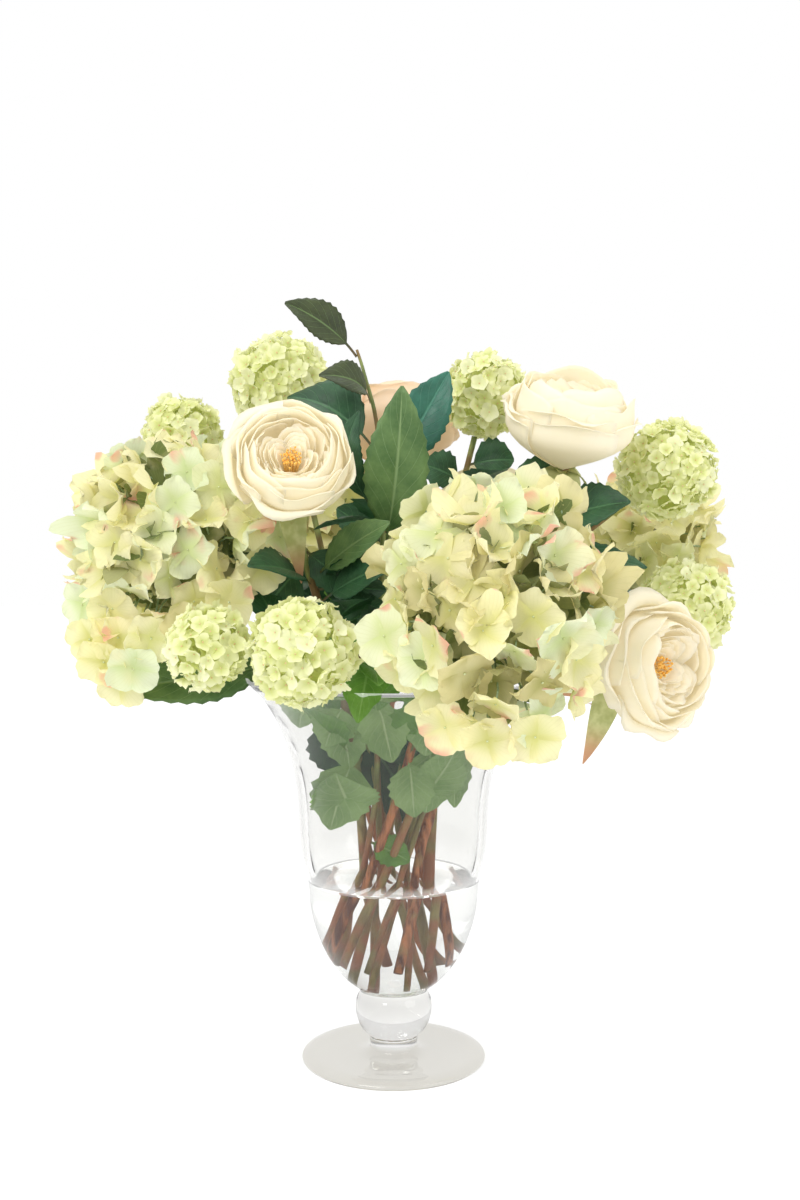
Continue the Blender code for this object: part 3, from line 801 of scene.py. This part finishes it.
# leaflets: per cent of the way up the stem, length and width in mm, azimuth in degrees, rise and the finish's
# place in the stem's list (2 bright, 3 dark, 4 pale)
SMALL_LEAVES = {
    "rose_1": (
        (27, 65, 46, 215, 0.9, 2), (40, 60, 40, 260, 1.2, 2), (52, 65, 36, 300, 0.4, 3),
        (62, 60, 34, 335, 0.3, 3), (66, 60, 32, 200, 0.1, 3), (74, 55, 30, 355, 0.2, 3),
    ),
    "rose_2": ((28, 65, 42, 330, 1.0, 2), (44, 60, 36, 280, 1.0, 3), (80, 55, 30, 250, 0.2, 3)),
    "rose_3": ((26, 60, 36, 20, 1.1, 2), (34, 55, 34, 320, 1.3, 2), (55, 60, 30, 290, 0.1, 3)),
    "rose_4": ((30, 60, 42, 160, 1.0, 2), (42, 65, 40, 235, 1.0, 3), (70, 70, 34, 255, 0.4, 3)),
    "rose_5": ((28, 60, 40, 80, 1.0, 2), (75, 60, 32, 60, 0.3, 3), (65, 60, 32, 140, 0.2, 3)),
    "snowball_1": ((28, 65, 44, 250, 1.0, 2), (44, 60, 38, 290, 1.0, 2), (72, 70, 34, 215, 0.4, 3)),
    "snowball_2": ((30, 60, 42, 180, 1.0, 2), (75, 60, 30, 150, 0.2, 3)),
    "snowball_3": ((30, 65, 44, 285, 0.9, 2), (42, 60, 36, 350, 1.0, 2), (75, 65, 32, 300, 0.3, 3)),
    "snowball_4": ((28, 60, 42, 310, 1.0, 2), (40, 60, 38, 20, 1.0, 3), (90, 50, 34, 235, -0.2, 2)),
    "snowball_5": ((30, 55, 36, 350, 1.2, 2), (80, 50, 28, 250, 0.3, 3), (92, 42, 28, 60, 0.3, 2)),
    "snowball_6": ((30, 60, 40, 225, 1.2, 2), (60, 55, 34, 290, 0.8, 3), (72, 55, 32, 120, 0.8, 3)),
    "snowball_7": ((32, 60, 40, 265, 1.3, 2), (66, 60, 34, 0, 0.9, 3), (90, 42, 32, 330, 0.1, 2)),
    "hydrangea_1": (
        (29, 65, 44, 195, 0.9, 2), (60, 65, 38, 330, 0.3, 3), (72, 70, 40, 300, 0.1, 3),
        (84, 60, 36, 280, -0.5, 3),
    ),
    "hydrangea_2": (
        (28, 65, 44, 290, 1.2, 2), (50, 65, 40, 230, 1.0, 3), (60, 70, 40, 195, 0.6, 3),
        (66, 70, 40, 350, 0.0, 3), (80, 60, 36, 180, 0.1, 3),
    ),
    "hydrangea_3": ((30, 60, 40, 60, 1.2, 2), (74, 70, 40, 10, 0.1, 3)),
    "hydrangea_4": ((30, 60, 40, 120, 1.2, 2), (72, 70, 40, 120, 0.2, 3), (66, 70, 40, 200, 0.3, 3)),
}


def inside_glass(place):
    """The same point, drawn towards the axis if it would touch the inside of the vase."""
    if place.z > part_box("vase")[1].z:
        return place
    wall = max(r for r, h in GLASS_LINE if abs(h - place.z) < 0.006) - GLASS_ROOM
    out = place.xy.length
    share = min(1, wall / out) if out > 0 else 1
    return Vector((place.x * share, place.y * share, place.z))


# leaves that face the front: the joint's height, the tip from the joint and the width in mm, the finish's
# place in the stem's list and, for some, how the leaf arches in mm
# the broad leaves in finish place 3 that join low in the neck are partly painted shade: dark green set there to
# darken the middle of the neck
FRONT_LEAVES = {
    "rose_1": (
        (235, (-18, -4, -55), 44, 4), (275, (-14, -8, -32), 34, 4), (325, (46, -10, 18), 34, 3),
        (355, (52, -5, 0), 34, 3), (385, (42, 0, -34), 32, 3), (375, (-34, 4, -40), 36, 3),
    ),
    "rose_2": (
        (270, (-12, -4, -52), 42, 3), (375, (40, -8, 16), 34, 3), (400, (-30, -10, 26), 30, 3),
        (430, (-32, -6, 10), 32, 3),
    ),
    "rose_3": ((245, (-4, -8, -52), 40, 4), (285, (10, -10, -40), 36, 3)),
    "rose_4": ((225, (20, -4, -50), 44, 3), (350, (-48, -10, 15), 36, 3), (385, (-38, -10, 30), 34, 3)),
    "rose_5": ((260, (-10, -12, -52), 44, 3),),
    "snowball_1": ((245, (30, 10, -48), 44, 3), (340, (-44, -10, 18), 34, 3)),
    "snowball_3": (
        (270, (-8, -8, -52), 44, 3), (395, (-34, -6, 12), 30, 3), (415, (34, -6, 12), 30, 3),
        (435, (-32, -4, 14), 32, 3), (448, (36, -6, 4), 34, 3),
    ),
    "snowball_5": ((250, (2, -12, -56), 28, 4),),
    "snowball_6": ((272, (10, -10, -46), 36, 4),),
    "snowball_7": (
        (168, (32, -10, -13), 24, 2), (285, (12, -6, -52), 36, 4),
        (300, (-6, -64, -30), 34, 2, (4, -20, 26)), (312, (34, 4, 30), 34, 3),
    ),
    "hydrangea_1": (
        (262, (14, -6, -50), 44, 3), (285, (-10, -34, -32), 40, 4), (330, (48, -30, 22), 40, 3),
    ),
    "hydrangea_2": ((235, (4, -4, -44), 34, 4), (285, (-6, 0, -48), 38, 4), (305, (-40, -20, 10), 36, 3)),
    "hydrangea_4": ((250, (-20, -10, -52), 44, 3),),
}


def add_leaf(bunch, base, bend, tip, upper, width, finish_index):
    leaf = leaf_mesh("leaflet", base, bend, tip, upper, width, 0.14, 0.07, 6, 14, 0.16)
    for face in leaf.polygons:
        face.material_index = finish_index
    bunch.put(leaf, None, between(0, 1))


def mm(numbers):
    return Vector([number / 1000 for number in numbers])


def add_front_leaves(bunch, name, rings):
    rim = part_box("vase")[1].z
    for joint_mm, tip_mm, width_mm, finish_index, *arch in FRONT_LEAVES.get(name, ()):
        height = joint_mm / 1000
        low, high = next((a[0], b[0]) for a, b in zip(rings, rings[1:]) if a[0].z <= height < b[0].z)
        joint = low.lerp(high, (height - low.z) / (high.z - low.z))
        tip = joint + mm(tip_mm)
        bend = (joint + tip) / 2 + mm(arch[0] if arch else (0, -8, 4))
        upper = Vector((0, -0.5, 1)) if arch else Vector((between(-0.3, 0.3), -1, 0.3))
        if joint.z < rim:
            tip = inside_glass(tip)
            bend = inside_glass(bend)
        add_leaf(bunch, joint, bend, tip, upper, width_mm / 1000, finish_index)


def add_leaflets(bunch, name, rings):
    """Leaflets all round the stem and then those that face the front."""
    for percent, length_mm, width_mm, azimuth, rise, finish_index in SMALL_LEAVES.get(name, ()):
        length = length_mm / 1000
        step = percent / 100 * (len(rings) - 1)
        low = min(int(step), len(rings) - 2)
        joint = rings[low][0].lerp(rings[low + 1][0], step - low)
        turn = radians(azimuth)
        out = Vector((cos(turn), sin(turn), 0))
        base = joint + out * 0.002
        tip = inside_glass(joint + (out + Vector((0, 0, rise))).normalized() * length)
        bend = inside_glass((base + tip) / 2 + Vector((0, 0, 0.16 * length)) + out * 0.10 * length)
        upper = (Vector((0, 0, 1)) - out * rise).normalized()
        add_leaf(bunch, base, bend, tip, upper, width_mm / 1000, finish_index)
    add_front_leaves(bunch, name, rings)


# ---- hydrangeas and viburnum


def floret_template(name, petals, length, width, cup, fold, wave, across, along, notch, centre_radius):
    """One small flower on the XY plane, facing +Z, with a bead in its middle."""
    bunch = Bunch()
    for i in range(petals):
        lift = cup * between(0.6, 1.4)
        lean = fold * between(-1, 1)
        long = length * between(0.90, 1.10)

        def spot(side, up, lift=lift, lean=lean, long=long):
            round_end = sqrt(1 - (max(0, up - 0.55) / 0.50) ** 2)
            foot = 0.20 + 0.80 * sin(min(1, up / 0.55) * pi / 2)
            half = 0.5 * width * round_end * foot
            nick = 1 + 0.03 * (-1) ** round(up * 8) * (abs(side) > 0.9)
            reach = long * up * (1 - 0.16 * side * side * up * up - notch * (abs(side) < 0.3) * up**4)
            bowl = lift * length * (up**1.5 - 0.35 * up**4) + 0.18 * width * side * side * up * (0.3 + lift)
            bowl += wave * width * sin(3.2 * side + 5.0 * up + 2.1 * i) * up
            aside = half * side * nick + lean * up * length * 0.1
            return Vector((aside, reach, bowl + lean * side * up * length * 0.16))

        petal = blade("petal", across, along, spot)
        bunch.put(petal, spin(i * 2 * pi / petals + between(-0.08, 0.08)))
    eye = bead("eye", centre_radius, 1, 1, 0.8)
    bunch.put(eye, Matrix.Translation((0, 0, centre_radius * 0.6)))
    return new_mesh(name, bunch.bm)


def cast_out(node, centre, count, turned):
    """Points and outward normals spread evenly over a head's solid, seen from its centre."""
    bm = solid_copy(node)
    tree = BVHTree.FromBMesh(bm)
    bm.free()
    found = []
    for i in range(count):
        high = 1 - 2 * (i + 0.5) / count
        turn = i * GOLDEN_TURN + turned
        flat = sqrt(1 - high * high)
        way = Vector((flat * cos(turn), flat * sin(turn), high))
        hit, normal, _, _ = tree.ray_cast(centre, way)
        if hit is not None:
            outward = normal if normal.dot(way) > 0 else -normal
            found.append((hit, (outward * 0.6 + way * 0.4).normalized()))
    return found


def stalk_mesh(points, radius, smooth_steps):
    return tube("stalk", points, [radius, radius, radius * 1.3], 0, 2, smooth_steps)


def make_head(name, templates, head_finishes, count, depths, tilt, size, stalks, loose=()):
    """A flower head: florets over the solid's surface, a layer below them whose low shade numbers the finishes
    paint dark as shade, and their thin stalks.

    A row of depths: the share of the way out, the lowest and highest shade, and the share of the count."""
    node = f"{name}_head"
    centre = middle(corners(node))
    rings = stem_rings(f"{name}_stem", STEM_RINGS)
    root = rings[-1][0]
    bunch = Bunch()
    for layer, (share, shade_low, shade_high, number) in enumerate(depths):
        for hit, normal in cast_out(node, centre, int(count * number), 1.3 * layer):
            place = centre + (hit - centre) * share * between(0.95, 1.04)
            wild = Vector((between(-1, 1), between(-1, 1), between(-1, 1))) * tilt
            way = (normal + wild).normalized()
            big = size * between(0.80, 1.16)
            matrix = facing(place, way, between(0, 6)) @ Matrix.Scale(big, 4)
            bunch.put_copy(chance.choice(templates), matrix, between(shade_low, shade_high))
            if stalks and layer == 0:
                under = place - way * 0.0005
                inner = root.lerp(place, 0.45) - way * 0.006
                bunch.put(stalk_mesh([under, under - way * 0.010, inner], stalks, 2))
    for offset, way, big, shade in loose:
        place = centre + mm(offset)
        matrix = facing(place, way, between(0, 6)) @ Matrix.Scale(big, 4)
        bunch.put_copy(templates[0], matrix, shade)
        start = place - Vector(way).normalized() * 0.0005
        bent = place.lerp(centre, 0.35) - Vector(way).normalized() * 0.012
        bunch.put(stalk_mesh([start, bent, place.lerp(centre, 0.7)], stalks, 3))
    bunch.piece(f"{name}_florets", [node], [finishes[f] for f in head_finishes])
    return rings


def stem_finishes(skin):
    return [finishes[f] for f in (skin, *LEAF_FINISHES)]


def make_plain_stem(name, node, rings, skins, wander, seed):
    bunch = Bunch()
    bunch.put(stem_mesh(name, rings, wander, seed))
    add_leaflets(bunch, name, rings)
    bunch.piece(f"{node}_skin", [node], skins)


# ---- vase and water


def vase_outline():
    """The vase solid's (radius, height) outline, from the middle of the well over the rim to the foot."""
    bm = solid_copy("vase")
    on_side = [v for v in bm.verts if v.co.x > -1e-5 and abs(v.co.y) < 1e-5]
    axis = sorted((v for v in on_side if v.co.x < 1e-5), key=lambda v: v.co.z)
    here = axis[-1]
    seen = {here}
    outline = [(0.0, here.co.z)]
    while True:
        near = [e.other_vert(here) for e in here.link_edges]
        ahead = [v for v in near if v in on_side and v not in seen]
        if not ahead:
            break
        here = min(ahead, key=lambda v: (v.co - here.co).length)
        seen.add(here)
        outline.append((max(0.0, here.co.x), here.co.z))
    bm.free()
    return outline


def rounded(outline, steps):
    """The outline with extra points on a smooth line between each two of its own."""
    points = [Vector((r, h)) for r, h in outline]
    points = [points[0] * 2 - points[1]] + points + [points[-1] * 2 - points[-2]]
    made = []
    for a, b, c, d in zip(points, points[1:], points[2:], points[3:]):
        span = (c - b).length
        before = (b - a).normalized() * span
        after = (d - c).normalized() * span
        here = (c - b).normalized() * span
        start = (before + here) * 0.5
        end = (here + after) * 0.5
        for i in range(steps):
            t = i / steps
            made.append(
                b * (2 * t**3 - 3 * t**2 + 1)
                + start * (t**3 - 2 * t**2 + t)
                + c * (3 * t**2 - 2 * t**3)
                + end * (t**3 - t**2)
            )
    made.append(points[-2])
    return [(max(0.0, p.x), p.y) for p in made]


def spun(outline):
    """A turned solid from its (radius, height) outline."""
    bm = bmesh.new()
    line = [bm.verts.new((r, 0, h)) for r, h in outline]
    edges = [bm.edges.new(pair) for pair in zip(line, line[1:])]
    turn = {"cent": (0, 0, 0), "axis": (0, 0, 1), "angle": 2 * pi}
    bmesh.ops.spin(bm, geom=line + edges, steps=ROUND_STEPS, use_merge=True, **turn)
    bmesh.ops.remove_doubles(bm, verts=bm.verts, dist=MERGE)
    bmesh.ops.recalc_face_normals(bm, faces=bm.faces)
    for face in bm.faces:
        face.smooth = True
    return bm


# the pressed panels: how many, how deep, and the heights where they start, are full, begin to fade and end
OPTIC_PANELS = 8
OPTIC_DEPTH = 0.0008
OPTIC_FROM, OPTIC_FULL, OPTIC_FADE, OPTIC_END = 0.1425, 0.147, 0.215, 0.285
ROUND_STEPS = 120
LIP_HEIGHT = 0.0016


def make_vase():
    """The vase, with wide upright panels pressed into the inside of its neck that end in a ledge."""
    outline = rounded(vase_outline(), 4)
    bm = spun(outline)
    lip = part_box("vase")[1].z
    inside = [(r, h) for r, h in outline[: len(outline) // 2] if h < lip - 0.001]

    def wall_at(height):
        best = min(inside, key=lambda p: abs(p[1] - height))
        return best[0]

    for vert in bm.verts:
        out = vert.co.xy.length
        if not OPTIC_FROM < vert.co.z < OPTIC_END or abs(out - wall_at(vert.co.z)) > 0.0012:
            continue
        turn = atan2(vert.co.y, vert.co.x) + pi / 2 + pi / OPTIC_PANELS
        scallop = abs(sin(turn * OPTIC_PANELS / 2)) ** 0.7
        rise = min(1, (vert.co.z - OPTIC_FROM) / (OPTIC_FULL - OPTIC_FROM))
        fade = 1 - max(0, vert.co.z - OPTIC_FADE) / (OPTIC_END - OPTIC_FADE)
        shift = OPTIC_DEPTH * scallop * rise * fade - OPTIC_DEPTH * 0.9 * rise * fade
        vert.co.x *= (out + shift) / out
        vert.co.y *= (out + shift) / out
    for face in bm.faces:
        # the top band of the rim takes the finish with the painted highlight
        face.material_index = int(face.calc_center_median().z > lip - LIP_HEIGHT)
    add_piece("vase_glass", bm, ["vase"], [finishes["glass"], finishes["lip"]])
    return outline


def make_water():
    """The water lies against the glass and climbs it a little at its edge."""
    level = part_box("water")[1].z
    into_glass = 0.00015
    wall = []
    for r, h in GLASS_LINE:
        if h >= level:
            break
        wall.append((r + into_glass if r > 0.001 else r, h - into_glass))
    edge = wall[-1][0]
    top = [(edge - inset, level + rise) for inset, rise in ((0, 0.0016), (0.0009, 0.0007), (0.0024, 0.0001))]
    add_piece("water_body", spun(wall + top + [(0.0, level)]), ["water"], [finishes["water"]])


# ---- making everything

finishes = {}
for shade, *looks in (
    ("ivory", (0.94, 0.86, 0.62), (0.97, 0.935, 0.82), (0.95, 0.80, 0.66), 0.1),
    ("cream", (0.97, 0.87, 0.62), (0.99, 0.955, 0.84), (0.96, 0.84, 0.68), 0.1),
    ("peach", (0.93, 0.72, 0.48), (0.96, 0.84, 0.68), (0.94, 0.68, 0.54), 0.08),
):
    finishes[shade] = petal_finish(f"rose petal {shade} silk", *looks)
finishes |= {
    "filament": bead_finish("stamen thread", (0.96, 0.56, 0.13), (0.99, 0.76, 0.34)),
    "anther": bead_finish("stamen tip", (0.97, 0.47, 0.06), (1.00, 0.68, 0.20)),
    "hydrangea": hydrangea_finish(),
    "hydrangea_eye": bead_finish("hydrangea eye", (0.58, 0.64, 0.30), (0.72, 0.76, 0.45)),
    "pedicel": bead_finish("floret stalk", (0.28, 0.40, 0.24), (0.44, 0.56, 0.36)),
    "snowball": snowball_finish(),
    "snowball_eye": bead_finish("viburnum eye", (0.75, 0.50, 0.26), (0.85, 0.68, 0.40)),
    "bark": bark_finish(),
    "green_stem": green_stem_finish(),
    "sepal": sepal_finish(),
    "glass": glass_finish(),
    "lip": lip_highlight_finish(),
    "water": water_finish(),
}
# a leaf's finish: its name, dark and light green, vein colour, roughness and painted glow (emission that lightens
# its shade)
for slot, *looks in (
    ("leaf_olive", "olive leaf", (0.03, 0.045, 0.012), (0.07, 0.095, 0.028), (0.18, 0.28, 0.1), 0.45, 0),
    ("leaf_dark", "dark green leaf", (0.018, 0.070, 0.028), (0.050, 0.160, 0.065), (0.10, 0.25, 0.11), 0.45, 0),
    ("leaf_green", "green leaf", (0.080, 0.175, 0.052), (0.185, 0.310, 0.105), (0.28, 0.42, 0.18), 0.42, 0),
    ("leaf_blue_green", "blue green leaf", (0.018, 0.12, 0.075), (0.045, 0.225, 0.15), (0.09, 0.31, 0.21), 0.42, 0),
    ("leaf_bright", "bright green leaf", (0.085, 0.21, 0.028), (0.19, 0.39, 0.07), (0.3, 0.5, 0.16), 0.42, 0.15),
    ("leaf_pale", "pale green leaf", (0.17, 0.30, 0.095), (0.34, 0.50, 0.20), (0.50, 0.62, 0.34), 0.45, 0.22),
):
    finishes[slot] = leaf_finish(*looks)

GLASS_LINE = make_vase()
make_water()
for number, rose in enumerate(ROSES):
    make_rose(rose, "peach" if rose == "rose_4" else "ivory", number)

# a floret: its name, length and width, cup, fold and wave
hydrangea_florets = [
    floret_template(name, 4, *shape, 4, 6, 0.0, 0.0009)
    for name, *shape in (
        ("flat floret", 0.0205, 0.0225, 0.20, 0.9, 0.07),
        ("waved floret", 0.0210, 0.0235, 0.36, 1.4, 0.12),
        ("cupped floret", 0.0205, 0.0230, 0.58, 1.7, 0.12),
        ("half closed floret", 0.0200, 0.0240, 0.95, 2.4, 0.12),
        ("bent back floret", 0.0205, 0.0230, -0.10, 1.9, 0.13),
    )
]
# florets that hang out of a head: mm from its middle, the way they face, size and shade
LOOSE = {
    "hydrangea_1": (
        ((62, -45, 10), (0.45, -0.85, 0.2), 1.05, 0.5), ((70, -40, -22), (0.5, -0.85, -0.05), 1.0, 0.3),
        ((48, -50, -45), (0.25, -0.92, -0.2), 1.05, 0.4), ((82, -30, 0), (0.7, -0.7, 0.0), 1.0, 0.55),
        ((20, -54, -62), (0.05, -0.95, -0.25), 1.0, 0.2), ((-58, -30, -48), (-0.5, -0.8, -0.2), 1.0, 0.6),
        ((-34, -44, -50), (-0.15, -0.95, -0.15), 1.0, 0.4),
        ((-6, -50, -70), (0.1, -0.92, -0.35), 1.05, 0.5),
        ((-30, -44, -70), (-0.2, -0.9, -0.35), 1.1, 0.9),
        ((-52, -34, -72), (-0.45, -0.8, -0.35), 1.05, 0.38),
        ((-42, -36, -88), (-0.2, -0.9, -0.4), 1.1, 0.45), ((-20, -44, -92), (0.1, -0.9, -0.45), 1.1, 0.6),
        ((-32, -30, -104), (-0.1, -0.8, -0.6), 1.05, 0.88),
        ((60, -40, 40), (0.55, -0.75, 0.35), 1.0, 0.62),
    ),
    "hydrangea_2": (
        ((-72, -20, -22), (-0.35, -0.9, 0.15), 1.05, 0.55),
        ((-46, -34, -36), (-0.1, -0.98, 0.1), 1.1, 0.57),
        ((-60, -12, -42), (-0.3, -0.9, -0.3), 0.95, 0.5),
        ((-34, -30, -78), (-0.15, -0.95, -0.25), 1.0, 0.4),
        ((-8, -34, -86), (0.05, -0.95, -0.3), 1.0, 0.3), ((22, -30, -84), (0.1, -0.95, -0.3), 1.05, 0.4),
    ),
}
HEAD_TONES = {"hydrangea_2": (0.12, 0.80)}  # the front head is a little tanner than the others
for number, head in enumerate(HYDRANGEAS):
    rings = make_head(
        head,
        hydrangea_florets,
        ("hydrangea", "hydrangea_eye", "pedicel"),
        78,
        # the second row is the inner layer: shade numbers 0 to 0.09, painted dark green as the shade between
        # florets
        ((0.87, *HEAD_TONES.get(head, (0.27, 0.96)), 1.0), (0.66, 0.0, 0.09, 0.55)),
        0.72,
        1.0,
        0.0007,
        LOOSE.get(head, ()),
    )
    make_plain_stem(head, f"{head}_stem", rings, stem_finishes("bark"), 0.0014, 20 + number)

snowball_florets = [
    floret_template(name, 5, *shape, 2, 3, 0.08, 0.0006)
    for name, *shape in (
        ("viburnum floret", 0.0070, 0.0068, 0.18, 0.8, 0.04),
        ("cupped viburnum floret", 0.0068, 0.0068, 0.50, 1.0, 0.05),
        ("bent viburnum floret", 0.0070, 0.0068, -0.05, 1.4, 0.08),
    )
]
for number, ball in enumerate(SNOWBALLS):
    across = (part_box(f"{ball}_head")[1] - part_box(f"{ball}_head")[0]).length / sqrt(3)
    rings = make_head(
        ball,
        snowball_florets,
        ("snowball", "snowball_eye", "pedicel"),
        int(150 * (across / 0.072) ** 2),
        # the second row is the inner layer, in low shade numbers that the finish paints darker green as shade
        ((0.93, 0.30, 0.92, 1.0), (0.74, 0.0, 0.3, 0.6)),
        0.58,
        1.06,
        0.0,
    )
    make_plain_stem(ball, f"{ball}_stem", rings, stem_finishes("green_stem"), 0.0012, 40 + number)

branch = stem_rings("leaf_branch", STEM_RINGS)
branch = [(place, radius * (1 - 0.6 * i / (len(branch) - 1))) for i, (place, radius) in enumerate(branch)]
make_plain_stem("leaf_branch", "leaf_branch", branch, [finishes["green_stem"]], 0.0008, 60)

STEM_LINES = [stem_rings(n, STEM_RINGS) for n in NODES if n.endswith("_stem") or n == "leaf_branch"]


def nearest_joint(node):
    """The point on any stem that lies nearest to one of the leaf's ends."""
    points = corners(node)
    best = None
    for rings in STEM_LINES:
        for (low, _), (high, _) in zip(rings, rings[1:]):
            for i in range(5):
                place = low.lerp(high, i / 4)
                gap = min((p - place).length for p in points)
                if best is None or gap < best[0]:
                    best = (gap, place)
    return best[1]


# how much broader a blade is than its solid, its roll about its length, its turn to the front and how it bows
STRAIGHT = (0, 0, 0)
BLADES = {
    "leaf_top": (1.3, -0.5, 0, STRAIGHT),
    "leaf_centre": (1.0, 0, 0, (0.006, 0, 0)),
    "leaf_narrow": (1.35, 0, 1, (-0.030, -0.036, 0)),
    "leaf_in_vase": (1.4, 0, 1, STRAIGHT),
    "leaf_in_neck": (1.35, 0, 1, STRAIGHT),
    "leaf_right": (1.25, 0, 0.7, STRAIGHT),
    "leaf_pointed": (1.1, 0, 0.4, STRAIGHT),
    "leaf_low_left": (1.35, 0, 0.8, (0, -0.010, -0.012)),
    "leaf_front_dark": (1.2, 0, 0.5, STRAIGHT),
    "leaf_front_olive": (1.2, 0, 0.4, STRAIGHT),
}
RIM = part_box("vase")[1]
for node in sorted(n for n in NODES if n.startswith("leaf_") and n != "leaf_branch"):
    base, bend, tip, upper, width = leaf_facts(node, nearest_joint(node))
    bunch = Bunch()
    broader, roll, to_front, bow = BLADES.get(node, (1.05, 0, 0, STRAIGHT))
    upper = Matrix.Rotation(roll, 3, tip - base) @ upper + Vector((0, -to_front, 0))
    bunch.put(leaf_mesh(node, base, bend + Vector(bow), tip, upper, width * broader, 0.16, 0.045), None, 0.5)
    in_vase = tip.z < RIM.z and tip.xy.length < RIM.x
    bunch.piece(f"{node}_blade", [node], [finishes["leaf_pale" if in_vase else SLOTS[node]]], PETAL_SILK)

# ---- floor, light and camera


def make_floor():
    bm = bmesh.new()
    bmesh.ops.create_grid(bm, x_segments=1, y_segments=1, size=6)
    floor = add_object("floor", new_mesh("floor", bm))
    floor.data.materials.append(floor_finish())
    floor.visible_glossy = False  # the glass mirrors the studio and not the bright table


def add_light(name, place, power):
    lamp = bpy.data.lights.new(name, "AREA")
    lamp.shape = "DISK"
    lamp.size = LAMP_SIZE
    lamp.energy = power
    holder = add_object(name, lamp)
    holder.location = place
    holder.rotation_euler = (Vector(AIM) - Vector(place)).to_track_quat("-Z", "Y").to_euler()


def make_world():
    """White to the eye; duller in glass and gloss to the front and sides, and as light on petals."""
    world = bpy.data.worlds.new("white studio")
    world.use_nodes = True
    bpy.context.scene.world = world
    tree = world.node_tree
    background = tree.nodes["Background"]
    path = tree.nodes.new("ShaderNodeLightPath")
    diffuse = Wire(tree, path.outputs["Is Diffuse Ray"])
    camera = Wire(tree, path.outputs["Is Camera Ray"])
    way = tree.nodes.new("ShaderNodeSeparateXYZ")
    tree.links.new(tree.nodes.new("ShaderNodeTexCoord").outputs["Generated"], way.inputs[0])
    behind = Wire(tree, way.outputs["Y"]).step(-0.15, 0.60)
    above = Wire(tree, way.outputs["Z"]).step(0.35, 0.75)
    seen = 0.45 + 0.55 * (behind + above - behind * above)
    background.inputs["Color"].default_value = (1, 1, 1, 1)
    put(background.inputs["Strength"], camera + (1 - camera) * (0.80 * diffuse + (1 - diffuse) * seen))


def make_camera():
    camera = bpy.data.cameras.new("camera")
    camera.lens = CAMERA_LENS
    camera.sensor_width = 36
    holder = add_object("camera", camera)
    holder.location = CAMERA_PLACE
    holder.rotation_euler = (radians(CAMERA_PITCH), 0, 0)
    bpy.context.scene.camera = holder


make_floor()
make_world()
add_light("key", (-0.9, -1.5, 1.7), 22)
add_light("fill", (1.4, -0.9, 1.0), 6)
add_light("top", (0.0, 0.4, 1.9), 6)
make_camera()
bpy.context.scene.view_settings.view_transform = "Standard"
